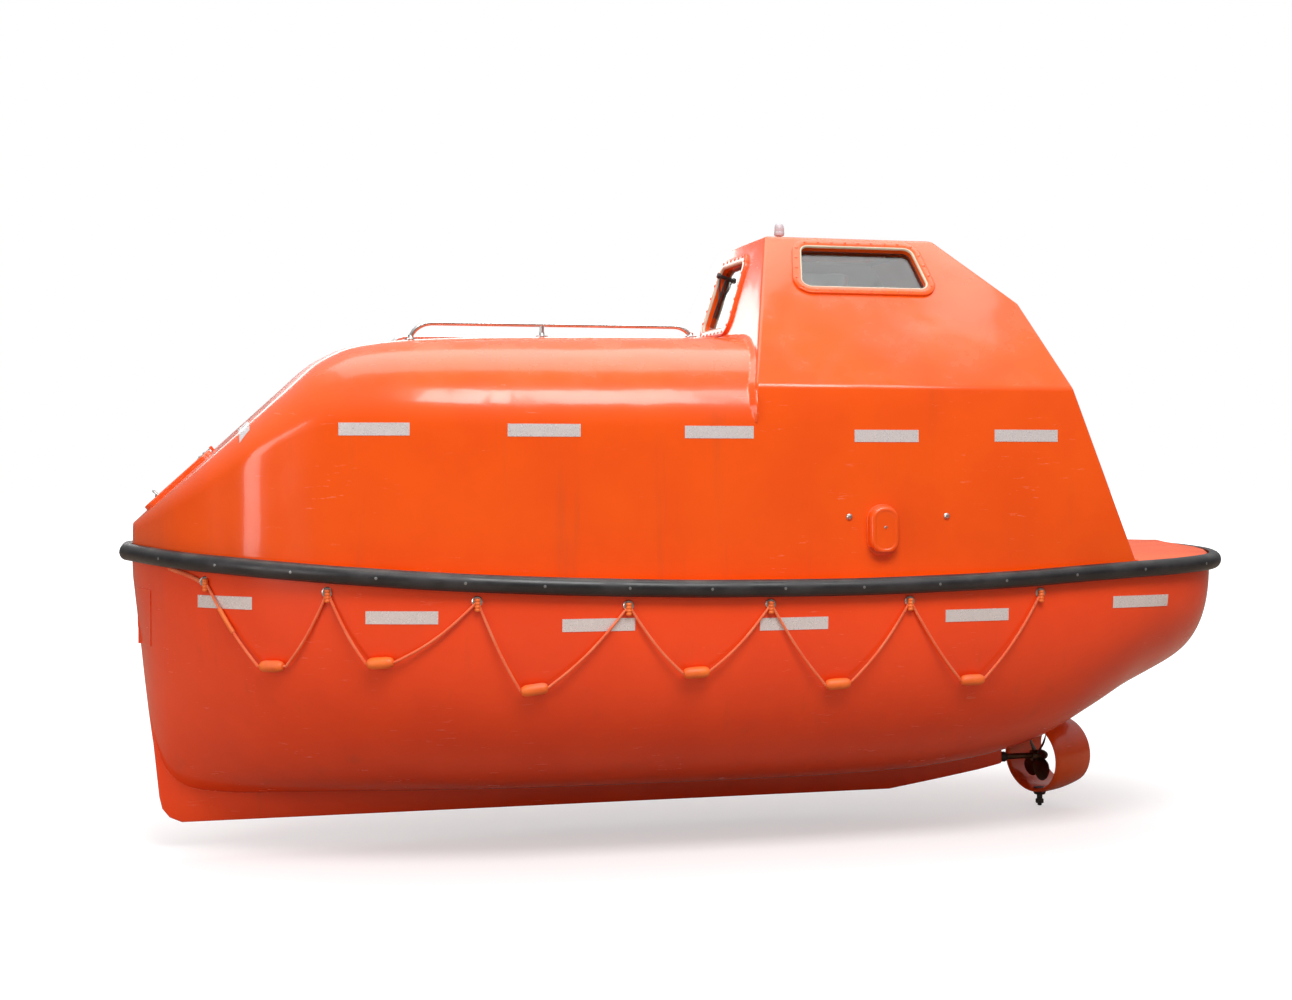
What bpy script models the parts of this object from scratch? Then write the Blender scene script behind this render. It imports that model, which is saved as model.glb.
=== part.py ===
"""Enclosed lifeboat: a moulded hull, a hollow canopy and cab, hatches, and a steering nozzle.

Metres, +Z up. The bow points towards -X and port is -Y. The origin is on the centreline,
amidships, at the waterline. Heights in the tables are above the keel sole.
"""
import math

import bpy
import bmesh
from mathutils import Matrix, Vector

# Driving dimensions
DRAUGHT = 0.50            # waterline above the keel sole
FIT_GAP = 0.0003          # gap between two pieces that touch
SHELL = 0.045             # thickness of the canopy and cab walls
FENDER_HALF = 0.035       # half the fender's height
FENDER_DEEP = 0.052       # how far the fender stands off the hull
CREASE = 1.82             # height where the canopy ends and the cab begins
ROOF = 2.49               # height of the cab's roof
SIDE_HALF = 0.93          # half-width over the canopy's flat sides
ROOF_HALF = 0.38          # half-width of the cab's roof
SHARP_DEG = 32.0          # edges sharper than this stay sharp
RIM_OUT = 0.042           # how far a window's frame reaches past its glass
RIM_THICK = 0.012         # how far a window's frame stands off the wall
GLASS_THICK = 0.008
LID_THICK = 0.025
HINGE_RADIUS = 0.011
STOCK_X = 1.67            # rudder stock, which is the nozzle's turning axis
SHAFT_HEIGHT = 0.12       # propeller shaft above the keel sole
HELM_ANGLE = 22.0         # how far the nozzle is turned as it lies, front end to port
ROPE_RADIUS = 0.006
FLOAT_RADIUS = 0.023
FLOAT_HALF = 0.052

# Hull stations. Columns: x, half-breadth at the sheer, height of the bottom on the
# centreline, height of the sheer, fullness of the section (1 is a straight V)
HULL_STATIONS = [
    (-2.448, 0.130, 1.030, 1.140, 1.10),
    (-2.420, 0.200, 0.780, 1.138, 1.12),
    (-2.390, 0.262, 0.500, 1.135, 1.15),
    (-2.360, 0.320, 0.300, 1.132, 1.20),
    (-2.300, 0.420, 0.170, 1.126, 1.30),
    (-2.200, 0.545, 0.125, 1.117, 1.45),
    (-2.090, 0.645, 0.115, 1.109, 1.62),
    (-1.950, 0.755, 0.110, 1.098, 1.80),
    (-1.800, 0.842, 0.110, 1.087, 1.95),
    (-1.600, 0.930, 0.110, 1.073, 2.10),
    (-1.200, 1.030, 0.110, 1.048, 2.35),
    (-0.700, 1.062, 0.110, 1.025, 2.55),
    (-0.200, 1.065, 0.110, 1.011, 2.60),
    (0.300, 1.062, 0.110, 1.008, 2.60),
    (0.800, 1.042, 0.122, 1.016, 2.60),
    (1.100, 1.022, 0.150, 1.026, 2.58),
    (1.400, 0.998, 0.212, 1.043, 2.50),
    (1.650, 0.974, 0.335, 1.055, 2.40),
    (1.840, 0.942, 0.440, 1.063, 2.30),
    (1.960, 0.905, 0.495, 1.070, 2.30),
    (2.060, 0.845, 0.540, 1.075, 2.35),
    (2.130, 0.755, 0.575, 1.079, 2.45),
    (2.190, 0.630, 0.620, 1.082, 2.60),
    (2.240, 0.470, 0.700, 1.085, 2.70),
    (2.272, 0.310, 0.820, 1.086, 2.80),
    (2.288, 0.160, 0.960, 1.087, 2.80),
]
HULL_ARC_STEPS = 9        # strips from the sheer down to the keel on one side

# Keel and stem bar, seen from the side. Columns: x, height
KEEL_OUTLINE = [
    (-2.448, 1.100), (-2.342, 0.110), (-2.330, 0.060), (-2.300, 0.022), (-2.250, 0.000),
    (0.900, 0.000), (1.140, 0.037), (1.340, 0.070), (1.460, 0.095), (1.460, 0.215),
    (1.400, 0.260), (0.900, 0.190), (-2.100, 0.190), (-2.280, 0.240), (-2.380, 1.080),
]
KEEL_HALF = 0.042

# Well inside the hull. Columns: x, half-width above the benches
WELL_STATIONS = [(-1.70, 0.58), (-1.20, 0.80), (-0.60, 0.86), (0.90, 0.86), (1.62, 0.82)]
BENCH_TOP = 0.68
FOOT_WELL = (-1.50, 1.55, 0.36, 0.34)    # from x, to x, half-width, floor height

# Fore canopy stations. Columns: x, half-width of the side, crown height,
# how far the shoulder runs in, how far the shoulder runs down
CANOPY_STATIONS = [
    (-2.446, 0.118, 1.256, 0.050, 0.040),
    (-2.400, 0.228, 1.300, 0.060, 0.055),
    (-2.290, 0.422, 1.402, 0.085, 0.085),
    (-2.200, 0.518, 1.486, 0.110, 0.110),
    (-2.090, 0.605, 1.589, 0.140, 0.135),
    (-1.990, 0.680, 1.682, 0.170, 0.160),
    (-1.860, 0.735, 1.803, 0.230, 0.200),
    (-1.722, 0.790, 1.925, 0.300, 0.270),
    (-1.583, 0.830, 1.990, 0.360, 0.320),
    (-1.340, 0.885, 2.025, 0.430, 0.360),
    (-1.000, 0.930, 2.040, 0.470, 0.380),
    (-0.500, 0.930, 2.050, 0.480, 0.390),
    (0.120, 0.930, 2.058, 0.480, 0.395),
]
SHOULDER_STEPS = 6
CROWN_CAMBER = 0.015      # how much the crown falls from the centreline to the shoulder

# Aft end of the canopy and the cab, seen from the side. Columns: x, height
BOX_FRONT = (-0.010, CREASE)
CAB_FRONT_TOP = (0.195, ROOF)
CAB_AFT_TOP = (0.970, ROOF)
CAB_AFT_KNUCKLE = (1.280, 2.200)
CREASE_AFT = (1.392, CREASE)
BOX_AFT_FOOT = (1.703, 1.040)
EDGE_ROUND = 0.022        # radius of the moulded edges

# Recess behind the cab: it starts at x, with its half-width and its floor's height
RECESS_X = 1.130
RECESS_HALF = 0.360
RECESS_FLOOR = 1.080

# Window glass, as corners across and up its wall, and the radius of the corners
SIDE_GLASS = [(0.302, 0.563), (0.875, 0.563), (0.845, 0.800), (0.345, 0.800)]
FRONT_GLASS = [(-0.200, 0.300), (0.200, 0.300), (0.180, 0.600), (-0.180, 0.600)]
GLASS_CORNER = 0.035

# Eyes that hold the grab line. Columns: x, height
LINE_EYES = [(-2.161, 1.040), (-1.711, 1.010), (-1.157, 0.975), (-0.570, 0.950),
             (0.008, 0.945), (0.602, 0.945), (1.196, 0.965)]
# Floats between the eyes. Columns: x, height, tilt of the float in degrees
LINE_FLOATS = [(-1.912, 0.716, 2.0), (-1.515, 0.739, 4.0), (-0.932, 0.629, 8.0),
               (-0.295, 0.681, 3.0), (0.300, 0.616, 3.0), (0.896, 0.611, 1.0)]
LINE_SAG = 0.022
EYE_RADIUS = 0.021        # radius of the round foot that carries each eye
EYE_ENDS = (-0.020, 0.007)
# Float on the line. Columns: place along its half-length, radius
FLOAT_PROFILE = [(-1.15, ROPE_RADIUS), (-1.0, 0.013), (-0.62, 0.021), (0.0, FLOAT_RADIUS),
                 (0.62, 0.021), (1.0, 0.013), (1.15, ROPE_RADIUS)]

# Slope of the bow's ridge, along which the bow hatch lies
BOW_FOOT = (-2.446, 1.256)
BOW_TOP = (-1.722, 1.925)
SLOPE = math.atan2(BOW_TOP[1] - BOW_FOOT[1], BOW_TOP[0] - BOW_FOOT[0])
SLOPE_OUT = (-math.sin(SLOPE), 0.0, math.cos(SLOPE))
SLOPE_DOWN = (-math.cos(SLOPE), 0.0, -math.sin(SLOPE))
BOW_HATCH_X = -2.262
BOW_HATCH_HEIGHT = BOW_FOOT[1] + (BOW_HATCH_X - BOW_FOOT[0]) * math.tan(SLOPE) + 0.004

# Hatches. Columns: name, x, y and height of the middle of the opening, direction from the hinge
# to the free edge, outward direction, half-length that way, half-width along the hinge, how much
# narrower each side is at the free edge, height of the coaming, thickness of the lid, radius of
# the hinge's knuckles, places of the hinges along the edge
HATCHES = [
    ("bow_hatch", (BOW_HATCH_X, 0.0, BOW_HATCH_HEIGHT), SLOPE_DOWN, SLOPE_OUT,
     0.175, 0.220, 0.070, 0.003, 0.012, 0.006, (-0.12, 0.12)),
    ("side_door", (-0.600, SIDE_HALF, 1.462), (1.0, 0.0, 0.0), (0.0, 1.0, 0.0),
     0.350, 0.340, 0.0, 0.025, LID_THICK, HINGE_RADIUS, (-0.22, 0.22)),
    ("aft_door", (RECESS_X, 0.0, 1.850), (0.0, 1.0, 0.0), (1.0, 0.0, 0.0),
     0.275, 0.345, 0.0, 0.020, LID_THICK, HINGE_RADIUS, (-0.22, 0.22)),
    ("roof_hatch", (0.680, 0.0, ROOF), (-1.0, 0.0, 0.0), (0.0, 0.0, 1.0),
     0.220, 0.220, 0.0, 0.0, 0.014, 0.007, (-0.12, 0.12)),
]
HATCH_CORNER = 0.05
COAMING_WIDTH = 0.03
HINGE_OUT = 0.014         # how far a hinge's axis stands off the lid's edge
KNUCKLE_HALF = 0.024      # half the length of the lid's knuckle
BRACKET_LONG = 0.016      # length of each knuckle beside it

# Vent cowls: x and height, half-width, half-height and corner radius
VENT_PLACE = (0.530, 1.230)
VENT_HALF = (0.068, 0.104)
VENT_CORNER = 0.062
# Layers of a cowl. Columns: how far the outline draws in, distance from the wall
VENT_LAYERS = [(0.0, FIT_GAP), (0.0, 0.022), (0.012, 0.038), (0.030, 0.045)]

# Canopy handrail, seen from the side. Columns: x, height
RAIL_PATH = [(-1.340, 2.030), (-1.325, 2.050), (-1.300, 2.070), (-1.270, 2.080), (-0.800, 2.082),
             (-0.225, 2.084), (-0.195, 2.076), (-0.172, 2.060), (-0.162, 2.050)]
RAIL_FEET = (-1.345, -0.158)
RAIL_SIDE = 0.45
RAIL_RADIUS = 0.010
RAIL_POST_X = -0.800
RAIL_TOP = 2.082

# Roof lamp on its post. Columns: height above the roof, radius
LAMP_X = 0.378
LAMP_PROFILE = [(FIT_GAP, 0.028), (0.012, 0.028), (0.013, 0.012), (0.048, 0.012), (0.050, 0.022),
                (0.066, 0.024), (0.088, 0.024), (0.102, 0.018), (0.108, 0.006)]

# Windscreen wiper in the front wall's frame: spindle, elbow, end of the arm, ends of the blade
WIPER_SPINDLE = (-0.160, 0.565)
WIPER_ELBOW = (-0.148, 0.520)
WIPER_ARM_END = (-0.140, 0.460)
WIPER_BLADE = [(-0.155, 0.370), (-0.128, 0.550)]

# Plain blocks inside. Columns: fore x, aft x, half-width, low height, high height
ENGINE_BLOCK = (0.53, 1.03, 0.24, 0.3403, 0.93)
ENGINE_CASING = (0.48, 1.08, 0.44, BENCH_TOP + FIT_GAP, 1.30)
CASING_HOLLOW = (0.51, 1.05, 0.35, 0.50, 1.27)
# Helm seat, seen from the side. Columns: x, height
SEAT_OUTLINE = [(0.60, 1.3003), (1.02, 1.3003), (1.045, 1.500), (1.035, 1.520), (1.005, 1.520),
                (0.970, 1.410), (0.64, 1.405), (0.60, 1.385)]
SEAT_HALF = 0.22
# Helm console. Columns: height, fore x, aft x, half-width
CONSOLE_STATIONS = [(BENCH_TOP + FIT_GAP, 0.14, 0.34, 0.44), (1.30, 0.17, 0.33, 0.34),
                    (1.66, 0.16, 0.34, 0.30), (1.80, 0.16, 0.24, 0.30)]
WHEEL_PLACE = (0.375, 0.0, 1.52)
WHEEL_RADIUS = 0.165
WHEEL_GRIP = 0.011
WHEEL_SPOKES = 3

# Nozzle wall. Columns: distance aft of the stock, radius
NOZZLE_PROFILE = [(-0.065, 0.159), (-0.056, 0.165), (-0.030, 0.171), (0.060, 0.172), (0.175, 0.158),
                  (0.175, 0.152), (0.060, 0.152), (-0.030, 0.152), (-0.058, 0.154)]
NOZZLE_TILT = 4.0
# Stock above the ring and pin below it. Columns: height from the shaft's line, radius
STOCK_PROFILE = [(0.160, 0.034), (0.1695, 0.034), (0.170, 0.019), (0.182, 0.019)]
PIN_PROFILE = [(-0.160, 0.030), (-0.184, 0.026), (-0.185, 0.013), (-0.205, 0.013),
               (-0.206, 0.019), (-0.226, 0.019), (-0.227, 0.010), (-0.237, 0.010)]
KEEL_END_X = 1.460
SHAFT_START = 1.500
SHAFT_RADIUS = 0.0135
PROP_X = 1.655
PROP_HUB = 0.026
# Hub and shaft end. Columns: distance aft of the blades' middle, radius
HUB_PROFILE = [(-0.029, SHAFT_RADIUS), (-0.028, PROP_HUB), (0.024, PROP_HUB), (0.040, 0.021),
               (0.052, 0.012), (0.056, 0.004)]
BLADES = 4
# Blade sections. Columns: radius, chord, thickness, pitch angle in degrees
BLADE_SECTIONS = [(0.018, 0.040, 0.009, 58.0), (0.050, 0.066, 0.007, 45.0),
                  (0.085, 0.084, 0.005, 34.0), (0.118, 0.074, 0.004, 27.0),
                  (0.138, 0.034, 0.003, 24.0)]

# Release hooks. Columns: name, x, height of the seat, size
HOOKS = [("fore_hook", -2.160, 1.1150, 0.80), ("aft_hook", 1.400, 1.0800, 1.00)]
HOOK_PIVOT = 0.115        # height of the hook's pin above its seat
HOOK_EYE = 0.215          # height of the middle of its bend
HOOK_HALF = 0.0197
HOOK_BASE_HALF = 0.07
HOOK_BASE_SIDE = 0.06
HOOK_BASE_THICK = 0.014
CHEEK_THICK = 0.015

ORANGE = (0.83, 0.115, 0.012, 1.0)
HULL_ORANGE = (0.74, 0.075, 0.016, 1.0)


def level(height):
    """Height above the keel sole as a height above the waterline."""
    return height - DRAUGHT


def paint(name, colour, roughness, metallic=0.0, alpha=1.0):
    """One Principled material."""
    finish = bpy.data.materials.new(name)
    finish.use_nodes = True
    shader = finish.node_tree.nodes["Principled BSDF"]
    shader.inputs["Base Color"].default_value = colour
    shader.inputs["Roughness"].default_value = roughness
    shader.inputs["Metallic"].default_value = metallic
    shader.inputs["Alpha"].default_value = alpha
    finish.diffuse_color = colour
    return finish


def add_mesh_object(name, bm):
    """Turn a bmesh into an object with its faces pointing out."""
    bmesh.ops.recalc_face_normals(bm, faces=bm.faces[:])
    mesh = bpy.data.meshes.new(name)
    bm.to_mesh(mesh)
    bm.free()
    thing = bpy.data.objects.new(name, mesh)
    bpy.context.scene.collection.objects.link(thing)
    return thing


def piece(name, bm, finish):
    """A named sub-part with its own material, shaded smooth up to the sharp angle."""
    thing = add_mesh_object(name, bm)
    thing.data.materials.append(finish)
    thing.data.shade_smooth()
    thing.data.set_sharp_from_angle(angle=math.radians(SHARP_DEG))
    return thing


def cutter(name, bm):
    """A shape that only cuts or joins others and isn't part of the boat."""
    thing = add_mesh_object(name, bm)
    thing.hide_render = True
    thing.display_type = "WIRE"
    return thing


def combine(thing, tool, operation):
    """Cut or join with another shape, kept as a live modifier."""
    modifier = thing.modifiers.new(operation.lower(), "BOOLEAN")
    modifier.object = tool
    modifier.operation = operation
    modifier.solver = "EXACT"


def loft(sections):
    """Closed solid through a row of closed sections that all have the same number of points."""
    bm = bmesh.new()
    rings = [[bm.verts.new(point) for point in section] for section in sections]
    for near, far in zip(rings, rings[1:]):
        for i in range(len(near)):
            j = (i + 1) % len(near)
            bm.faces.new((near[i], near[j], far[j], far[i]))
    bm.faces.new(rings[0])
    bm.faces.new(rings[-1])
    return bm


def tapered_rectangle(half_u, half_v, narrower):
    """Corners of a rectangle about the frame's origin whose far side in u is narrower."""
    far = half_v - narrower
    return [(-half_u, -half_v), (half_u, -far), (half_u, far), (-half_u, half_v)]


def turned_bar(profile, base, direction, sides):
    """Round bar along a direction. The profile's columns are distance from the base and radius."""
    path = [Vector(base) + Vector(direction) * along for along, _ in profile]
    return tube(path, [radius for _, radius in profile], sides)


def block(row):
    """Box from a row: fore x, aft x, half-width, low height, high height above the keel sole."""
    fore, aft, half, low, high = row
    return box((fore, -half, level(low)), (aft, half, level(high)))


def box(low, high):
    """Closed box between two corners whose heights are above the waterline."""
    sections = []
    for x in (low[0], high[0]):
        sections.append([(x, low[1], low[2]), (x, high[1], low[2]),
                         (x, high[1], high[2]), (x, low[1], high[2])])
    return loft(sections)


def plate(outline, frame, low, high):
    """An outline in the frame's XY plane, thickened from low to high along the frame's Z."""
    sections = [[frame @ Vector((u, v, w)) for u, v in outline] for w in (low, high)]
    return loft(sections)


def ring_plate(outer, inner, frame, low, high):
    """A flat ring between two outlines with the same number of points."""
    bm = bmesh.new()
    rings = []
    for outline, w in ((outer, low), (outer, high), (inner, high), (inner, low)):
        rings.append([bm.verts.new(frame @ Vector((u, v, w))) for u, v in outline])
    count = len(outer)
    for k in range(4):
        near = rings[k]
        far = rings[(k + 1) % 4]
        for i in range(count):
            j = (i + 1) % count
            bm.faces.new((near[i], near[j], far[j], far[i]))
    return bm


def tube(path, radii, sides):
    """Round bar along a path, whose radius may change from point to point."""
    points = [Vector(p) for p in path]
    last = len(points) - 1
    side = None
    sections = []
    for i, point in enumerate(points):
        ahead = (points[min(i + 1, last)] - points[max(i - 1, 0)]).normalized()
        if side is None:
            side = ahead.orthogonal().normalized()
        side = (side - ahead * side.dot(ahead)).normalized()
        other = ahead.cross(side)
        ring = []
        for k in range(sides):
            angle = 2.0 * math.pi * k / sides
            ring.append(point + radii[i] * (math.cos(angle) * side + math.sin(angle) * other))
        sections.append(ring)
    return loft(sections)


def even_tube(path, radius, sides):
    """Round bar of one radius along a path."""
    return tube(path, [radius] * len(path), sides)


def turned_ring(profile, centre, steps):
    """A closed profile of (distance along X, radius) turned about the X axis through the centre."""
    bm = bmesh.new()
    rings = []
    for k in range(steps):
        angle = 2.0 * math.pi * k / steps
        ring = []
        for along, radius in profile:
            ring.append(bm.verts.new((centre[0] + along, centre[1] + radius * math.cos(angle),
                                      centre[2] + radius * math.sin(angle))))
        rings.append(ring)
    count = len(profile)
    for k in range(steps):
        near = rings[k]
        far = rings[(k + 1) % steps]
        for i in range(count):
            j = (i + 1) % count
            bm.faces.new((near[i], near[j], far[j], far[i]))
    return bm


def solid_between(planes):
    """The convex solid inside a list of planes, each a point and an outward direction."""
    bm = bmesh.new()
    bmesh.ops.create_cube(bm, size=12.0)
    for point, outward in planes:
        geometry = bm.verts[:] + bm.edges[:] + bm.faces[:]
        cut = bmesh.ops.bisect_plane(bm, geom=geometry, plane_co=Vector(point),
                                     plane_no=Vector(outward).normalized(), clear_outer=True)
        rim = [item for item in cut["geom_cut"] if isinstance(item, bmesh.types.BMEdge)]
        bmesh.ops.contextual_create(bm, geom=rim)
    return bm


def round_edges(bm, wanted, radius, segments):
    """Round the edges that the test picks out."""
    bmesh.ops.recalc_face_normals(bm, faces=bm.faces[:])
    edges = [edge for edge in bm.edges if wanted(edge)]
    bmesh.ops.bevel(bm, geom=edges, offset=radius, segments=segments, profile=0.5,
                    affect="EDGES", clamp_overlap=True)


def rounded_outline(corners, radius, steps):
    """An outline whose corners are arcs. The corners run anticlockwise."""
    outline = []
    count = len(corners)
    for i in range(count):
        here = Vector(corners[i])
        back = (Vector(corners[i - 1]) - here).normalized()
        ahead = (Vector(corners[(i + 1) % count]) - here).normalized()
        half = back.angle(ahead) / 2.0
        centre = here + (back + ahead).normalized() * (radius / math.sin(half))
        start = here + back * (radius / math.tan(half)) - centre
        turn = (math.pi - 2.0 * half)
        for k in range(steps + 1):
            swing = turn * k / steps
            arm = Matrix.Rotation(swing, 2) @ start
            outline.append(tuple(centre + arm))
    return outline


def grown(corners, distance):
    """Move every side of a convex outline outward. The corners run anticlockwise."""
    result = []
    count = len(corners)
    for i in range(count):
        here = Vector(corners[i])
        into = (here - Vector(corners[i - 1])).normalized()
        out = (Vector(corners[(i + 1) % count]) - here).normalized()
        normal_in = Vector((into.y, -into.x))
        normal_out = Vector((out.y, -out.x))
        middle = (normal_in + normal_out).normalized()
        result.append(tuple(here + middle * (distance / middle.dot(normal_in))))
    return result


def rectangle(half_u, half_v):
    """Corners of a rectangle about the frame's origin."""
    return [(-half_u, -half_v), (half_u, -half_v), (half_u, half_v), (-half_u, half_v)]


def wall_frame(origin, across, outward):
    """Frame on a wall: X runs across it, Y up it, and Z out of it."""
    out = Vector(outward).normalized()
    along = Vector(across).normalized()
    up = out.cross(along)
    turn = Matrix((along, up, out)).transposed().to_4x4()
    return Matrix.Translation(Vector(origin)) @ turn


def between(table, x):
    """Row of a table at x, with straight lines between its rows."""
    for near, far in zip(table, table[1:]):
        if x <= far[0]:
            share = max(0.0, (x - near[0]) / (far[0] - near[0]))
            return [a + (b - a) * share for a, b in zip(near, far)]
    return list(table[-1])


def sheer(x):
    """Height of the hull's edge."""
    return between(HULL_STATIONS, x)[3]


def hull_half(x, height):
    """Half-breadth of the hull at a height above the keel sole."""
    _, half, bottom, top, full = between(HULL_STATIONS, x)
    drop = min(max((top - height) / (top - bottom), 0.0), 1.0)
    return half * (1.0 - drop ** full) ** (1.0 / full)


def hull_section(row, grow):
    """Closed section of the hull at a station, grown by a small amount where asked."""
    x, half, bottom, top, full = row
    half += grow
    bottom -= grow
    side = []
    for k in range(HULL_ARC_STEPS):
        angle = 0.5 * math.pi * k / HULL_ARC_STEPS
        y = half * math.cos(angle) ** (2.0 / full)
        z = top - (top - bottom) * math.sin(angle) ** (2.0 / full)
        side.append((y, z))
    side.append((0.0, bottom))
    port = [(x, -y, level(z)) for y, z in side]
    starboard = [(x, y, level(z)) for y, z in reversed(side[:-1])]
    return port + starboard


def shoulder_section(row, inset, foot):
    """Closed section of the fore canopy: flat sides, rounded shoulders and a crown."""
    x, half, crown, run_in, run_down = row
    half -= inset
    crown -= inset * 1.2
    run_in = max(run_in - inset, 0.012)
    run_down = max(run_down - inset, 0.012)
    camber = CROWN_CAMBER * min(1.0, (half - run_in) / 0.45)
    side = [(half, foot)]
    for k in range(SHOULDER_STEPS + 1):
        angle = 0.5 * math.pi * k / SHOULDER_STEPS
        side.append((half - run_in + run_in * math.cos(angle),
                     crown - camber - run_down + run_down * math.sin(angle)))
    port = [(x, -y, level(z)) for y, z in side]
    starboard = [(x, y, level(z)) for y, z in reversed(side)]
    return port + [(x, 0.0, level(crown))] + starboard


def make_hull(finish):
    """Hull moulding with its keel and stem bar, and the well with its benches."""
    hull = piece("hull", loft([hull_section(row, 0.0) for row in HULL_STATIONS]), finish)
    keel_frame = wall_frame((0.0, 0.0, 0.0), (1.0, 0.0, 0.0), (0.0, -1.0, 0.0))
    outline = [(x, level(z)) for x, z in KEEL_OUTLINE]
    combine(hull, cutter("keel_shape", plate(outline, keel_frame, -KEEL_HALF, KEEL_HALF)), "UNION")
    above = level(1.40)
    sections = []
    for x, half in WELL_STATIONS:
        sections.append([(x, -half, level(BENCH_TOP)), (x, half, level(BENCH_TOP)),
                         (x, half, above), (x, -half, above)])
    combine(hull, cutter("well_shape", loft(sections)), "DIFFERENCE")
    start, end, half, floor = FOOT_WELL
    foot = box((start, -half, level(floor)), (end, half, level(BENCH_TOP + 0.05)))
    combine(hull, cutter("foot_well_shape", foot), "DIFFERENCE")
    return hull


def slope_out(lower, upper, flip):
    """Outward direction of a wall that stands on the line from lower to upper, seen from the side."""
    run = Vector((upper[0] - lower[0], 0.0, upper[1] - lower[1]))
    return Vector((run.z * flip, 0.0, -run.x * flip))


def box_planes(inset):
    """Planes of the canopy's straight part under the cab."""
    aft_out = slope_out(BOX_AFT_FOOT, CREASE_AFT, 1.0).normalized()
    aft_point = Vector((CREASE_AFT[0], 0.0, level(CREASE_AFT[1]))) - aft_out * inset
    top = CREASE if inset == 0.0 else CREASE + 0.001
    return [
        ((0.0, SIDE_HALF - inset, 0.0), (0.0, 1.0, 0.0)),
        ((0.0, inset - SIDE_HALF, 0.0), (0.0, -1.0, 0.0)),
        ((BOX_FRONT[0] + inset, 0.0, 0.0), (-1.0, 0.0, 0.0)),
        (aft_point, aft_out),
        ((0.0, 0.0, level(top)), (0.0, 0.0, 1.0)),
        ((0.0, 0.0, level(0.90 - inset * 4.0)), (0.0, 0.0, -1.0)),
    ]


def cab_planes(inset):
    """Planes of the cab: sides, front, two aft walls, roof and foot."""
    rise = ROOF - CREASE
    side_out = Vector((0.0, rise, SIDE_HALF - ROOF_HALF)).normalized()
    front_out = slope_out(BOX_FRONT, CAB_FRONT_TOP, -1.0).normalized()
    low_out = slope_out(CREASE_AFT, CAB_AFT_KNUCKLE, 1.0).normalized()
    high_out = slope_out(CAB_AFT_KNUCKLE, CAB_AFT_TOP, 1.0).normalized()
    crease = level(CREASE)
    mirror_out = Vector((0.0, -side_out.y, side_out.z))
    foot = crease + FIT_GAP if inset == 0.0 else crease - 0.1
    return [
        (Vector((0.0, SIDE_HALF, crease)) - side_out * inset, side_out),
        (Vector((0.0, -SIDE_HALF, crease)) - mirror_out * inset, mirror_out),
        (Vector((BOX_FRONT[0], 0.0, crease)) - front_out * inset, front_out),
        (Vector((CREASE_AFT[0], 0.0, crease)) - low_out * inset, low_out),
        (Vector((CAB_AFT_TOP[0], 0.0, level(ROOF))) - high_out * inset, high_out),
        ((0.0, 0.0, level(ROOF) - inset), (0.0, 0.0, 1.0)),
        ((0.0, 0.0, foot), (0.0, 0.0, -1.0)),
    ]


def upright_corner(edge):
    """An outer edge that doesn't lie in the crease or in the foot."""
    heights = [vertex.co.z for vertex in edge.verts]
    crease = level(CREASE)
    in_crease = all(abs(height - crease) < 0.002 for height in heights)
    in_foot = all(height < level(0.95) for height in heights)
    return not in_crease and not in_foot


def recess_shape(name, extra):
    """The recess behind the cab, grown by a wall's thickness where asked."""
    low = (RECESS_X - extra, -RECESS_HALF - extra, level(RECESS_FLOOR) - extra)
    high = (2.2, RECESS_HALF + extra, level(2.7))
    return cutter(name, box(low, high))


def below_sheer_shape():
    """Everything under the hull's edge, which the canopy and the deck stand on."""
    sections = []
    for x in [-2.7] + [row[0] for row in HULL_STATIONS] + [2.6]:
        top = level(sheer(x)) + FIT_GAP
        sections.append([(x, -1.4, -0.6), (x, 1.4, -0.6), (x, 1.4, top), (x, -1.4, top)])
    return cutter("below_sheer_shape", loft(sections))


def make_canopy(finish, tools):
    """Hollow canopy shell: the rounded fore part and the straight part under the cab."""
    foot = 0.93
    outer = loft([shoulder_section(row, 0.0, foot) for row in CANOPY_STATIONS])
    canopy = piece("canopy", outer, finish)
    straight = solid_between(box_planes(0.0))
    round_edges(straight, upright_corner, EDGE_ROUND, 3)
    combine(canopy, cutter("canopy_aft_shape", straight), "UNION")

    inner_rows = [list(row) for row in CANOPY_STATIONS[1:]]
    inner_rows[0][0] += 0.5 * SHELL
    inner_rows[-1][0] += SHELL
    inner = loft([shoulder_section(row, SHELL, foot - 0.2) for row in inner_rows])
    hollow = cutter("canopy_hollow_shape", inner)
    combine(hollow, cutter("canopy_aft_hollow_shape", solid_between(box_planes(SHELL))), "UNION")
    combine(hollow, tools["recess_wall"], "DIFFERENCE")
    combine(canopy, hollow, "DIFFERENCE")
    combine(canopy, tools["recess"], "DIFFERENCE")
    combine(canopy, tools["below_sheer"], "DIFFERENCE")
    return canopy


def make_cab(finish, tools):
    """Hollow steering cab above the crease."""
    outer = solid_between(cab_planes(0.0))
    round_edges(outer, upright_corner, EDGE_ROUND, 3)
    cab = piece("cab", outer, finish)
    hollow = cutter("cab_hollow_shape", solid_between(cab_planes(SHELL)))
    combine(hollow, tools["recess_wall"], "DIFFERENCE")
    combine(cab, hollow, "DIFFERENCE")
    combine(cab, tools["recess"], "DIFFERENCE")
    crown_rows = [row for row in CANOPY_STATIONS if row[0] > -0.6]
    crown = loft([shoulder_section(row, -FIT_GAP, 0.93) for row in crown_rows])
    combine(cab, cutter("crown_shape", crown), "DIFFERENCE")
    return cab


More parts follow.
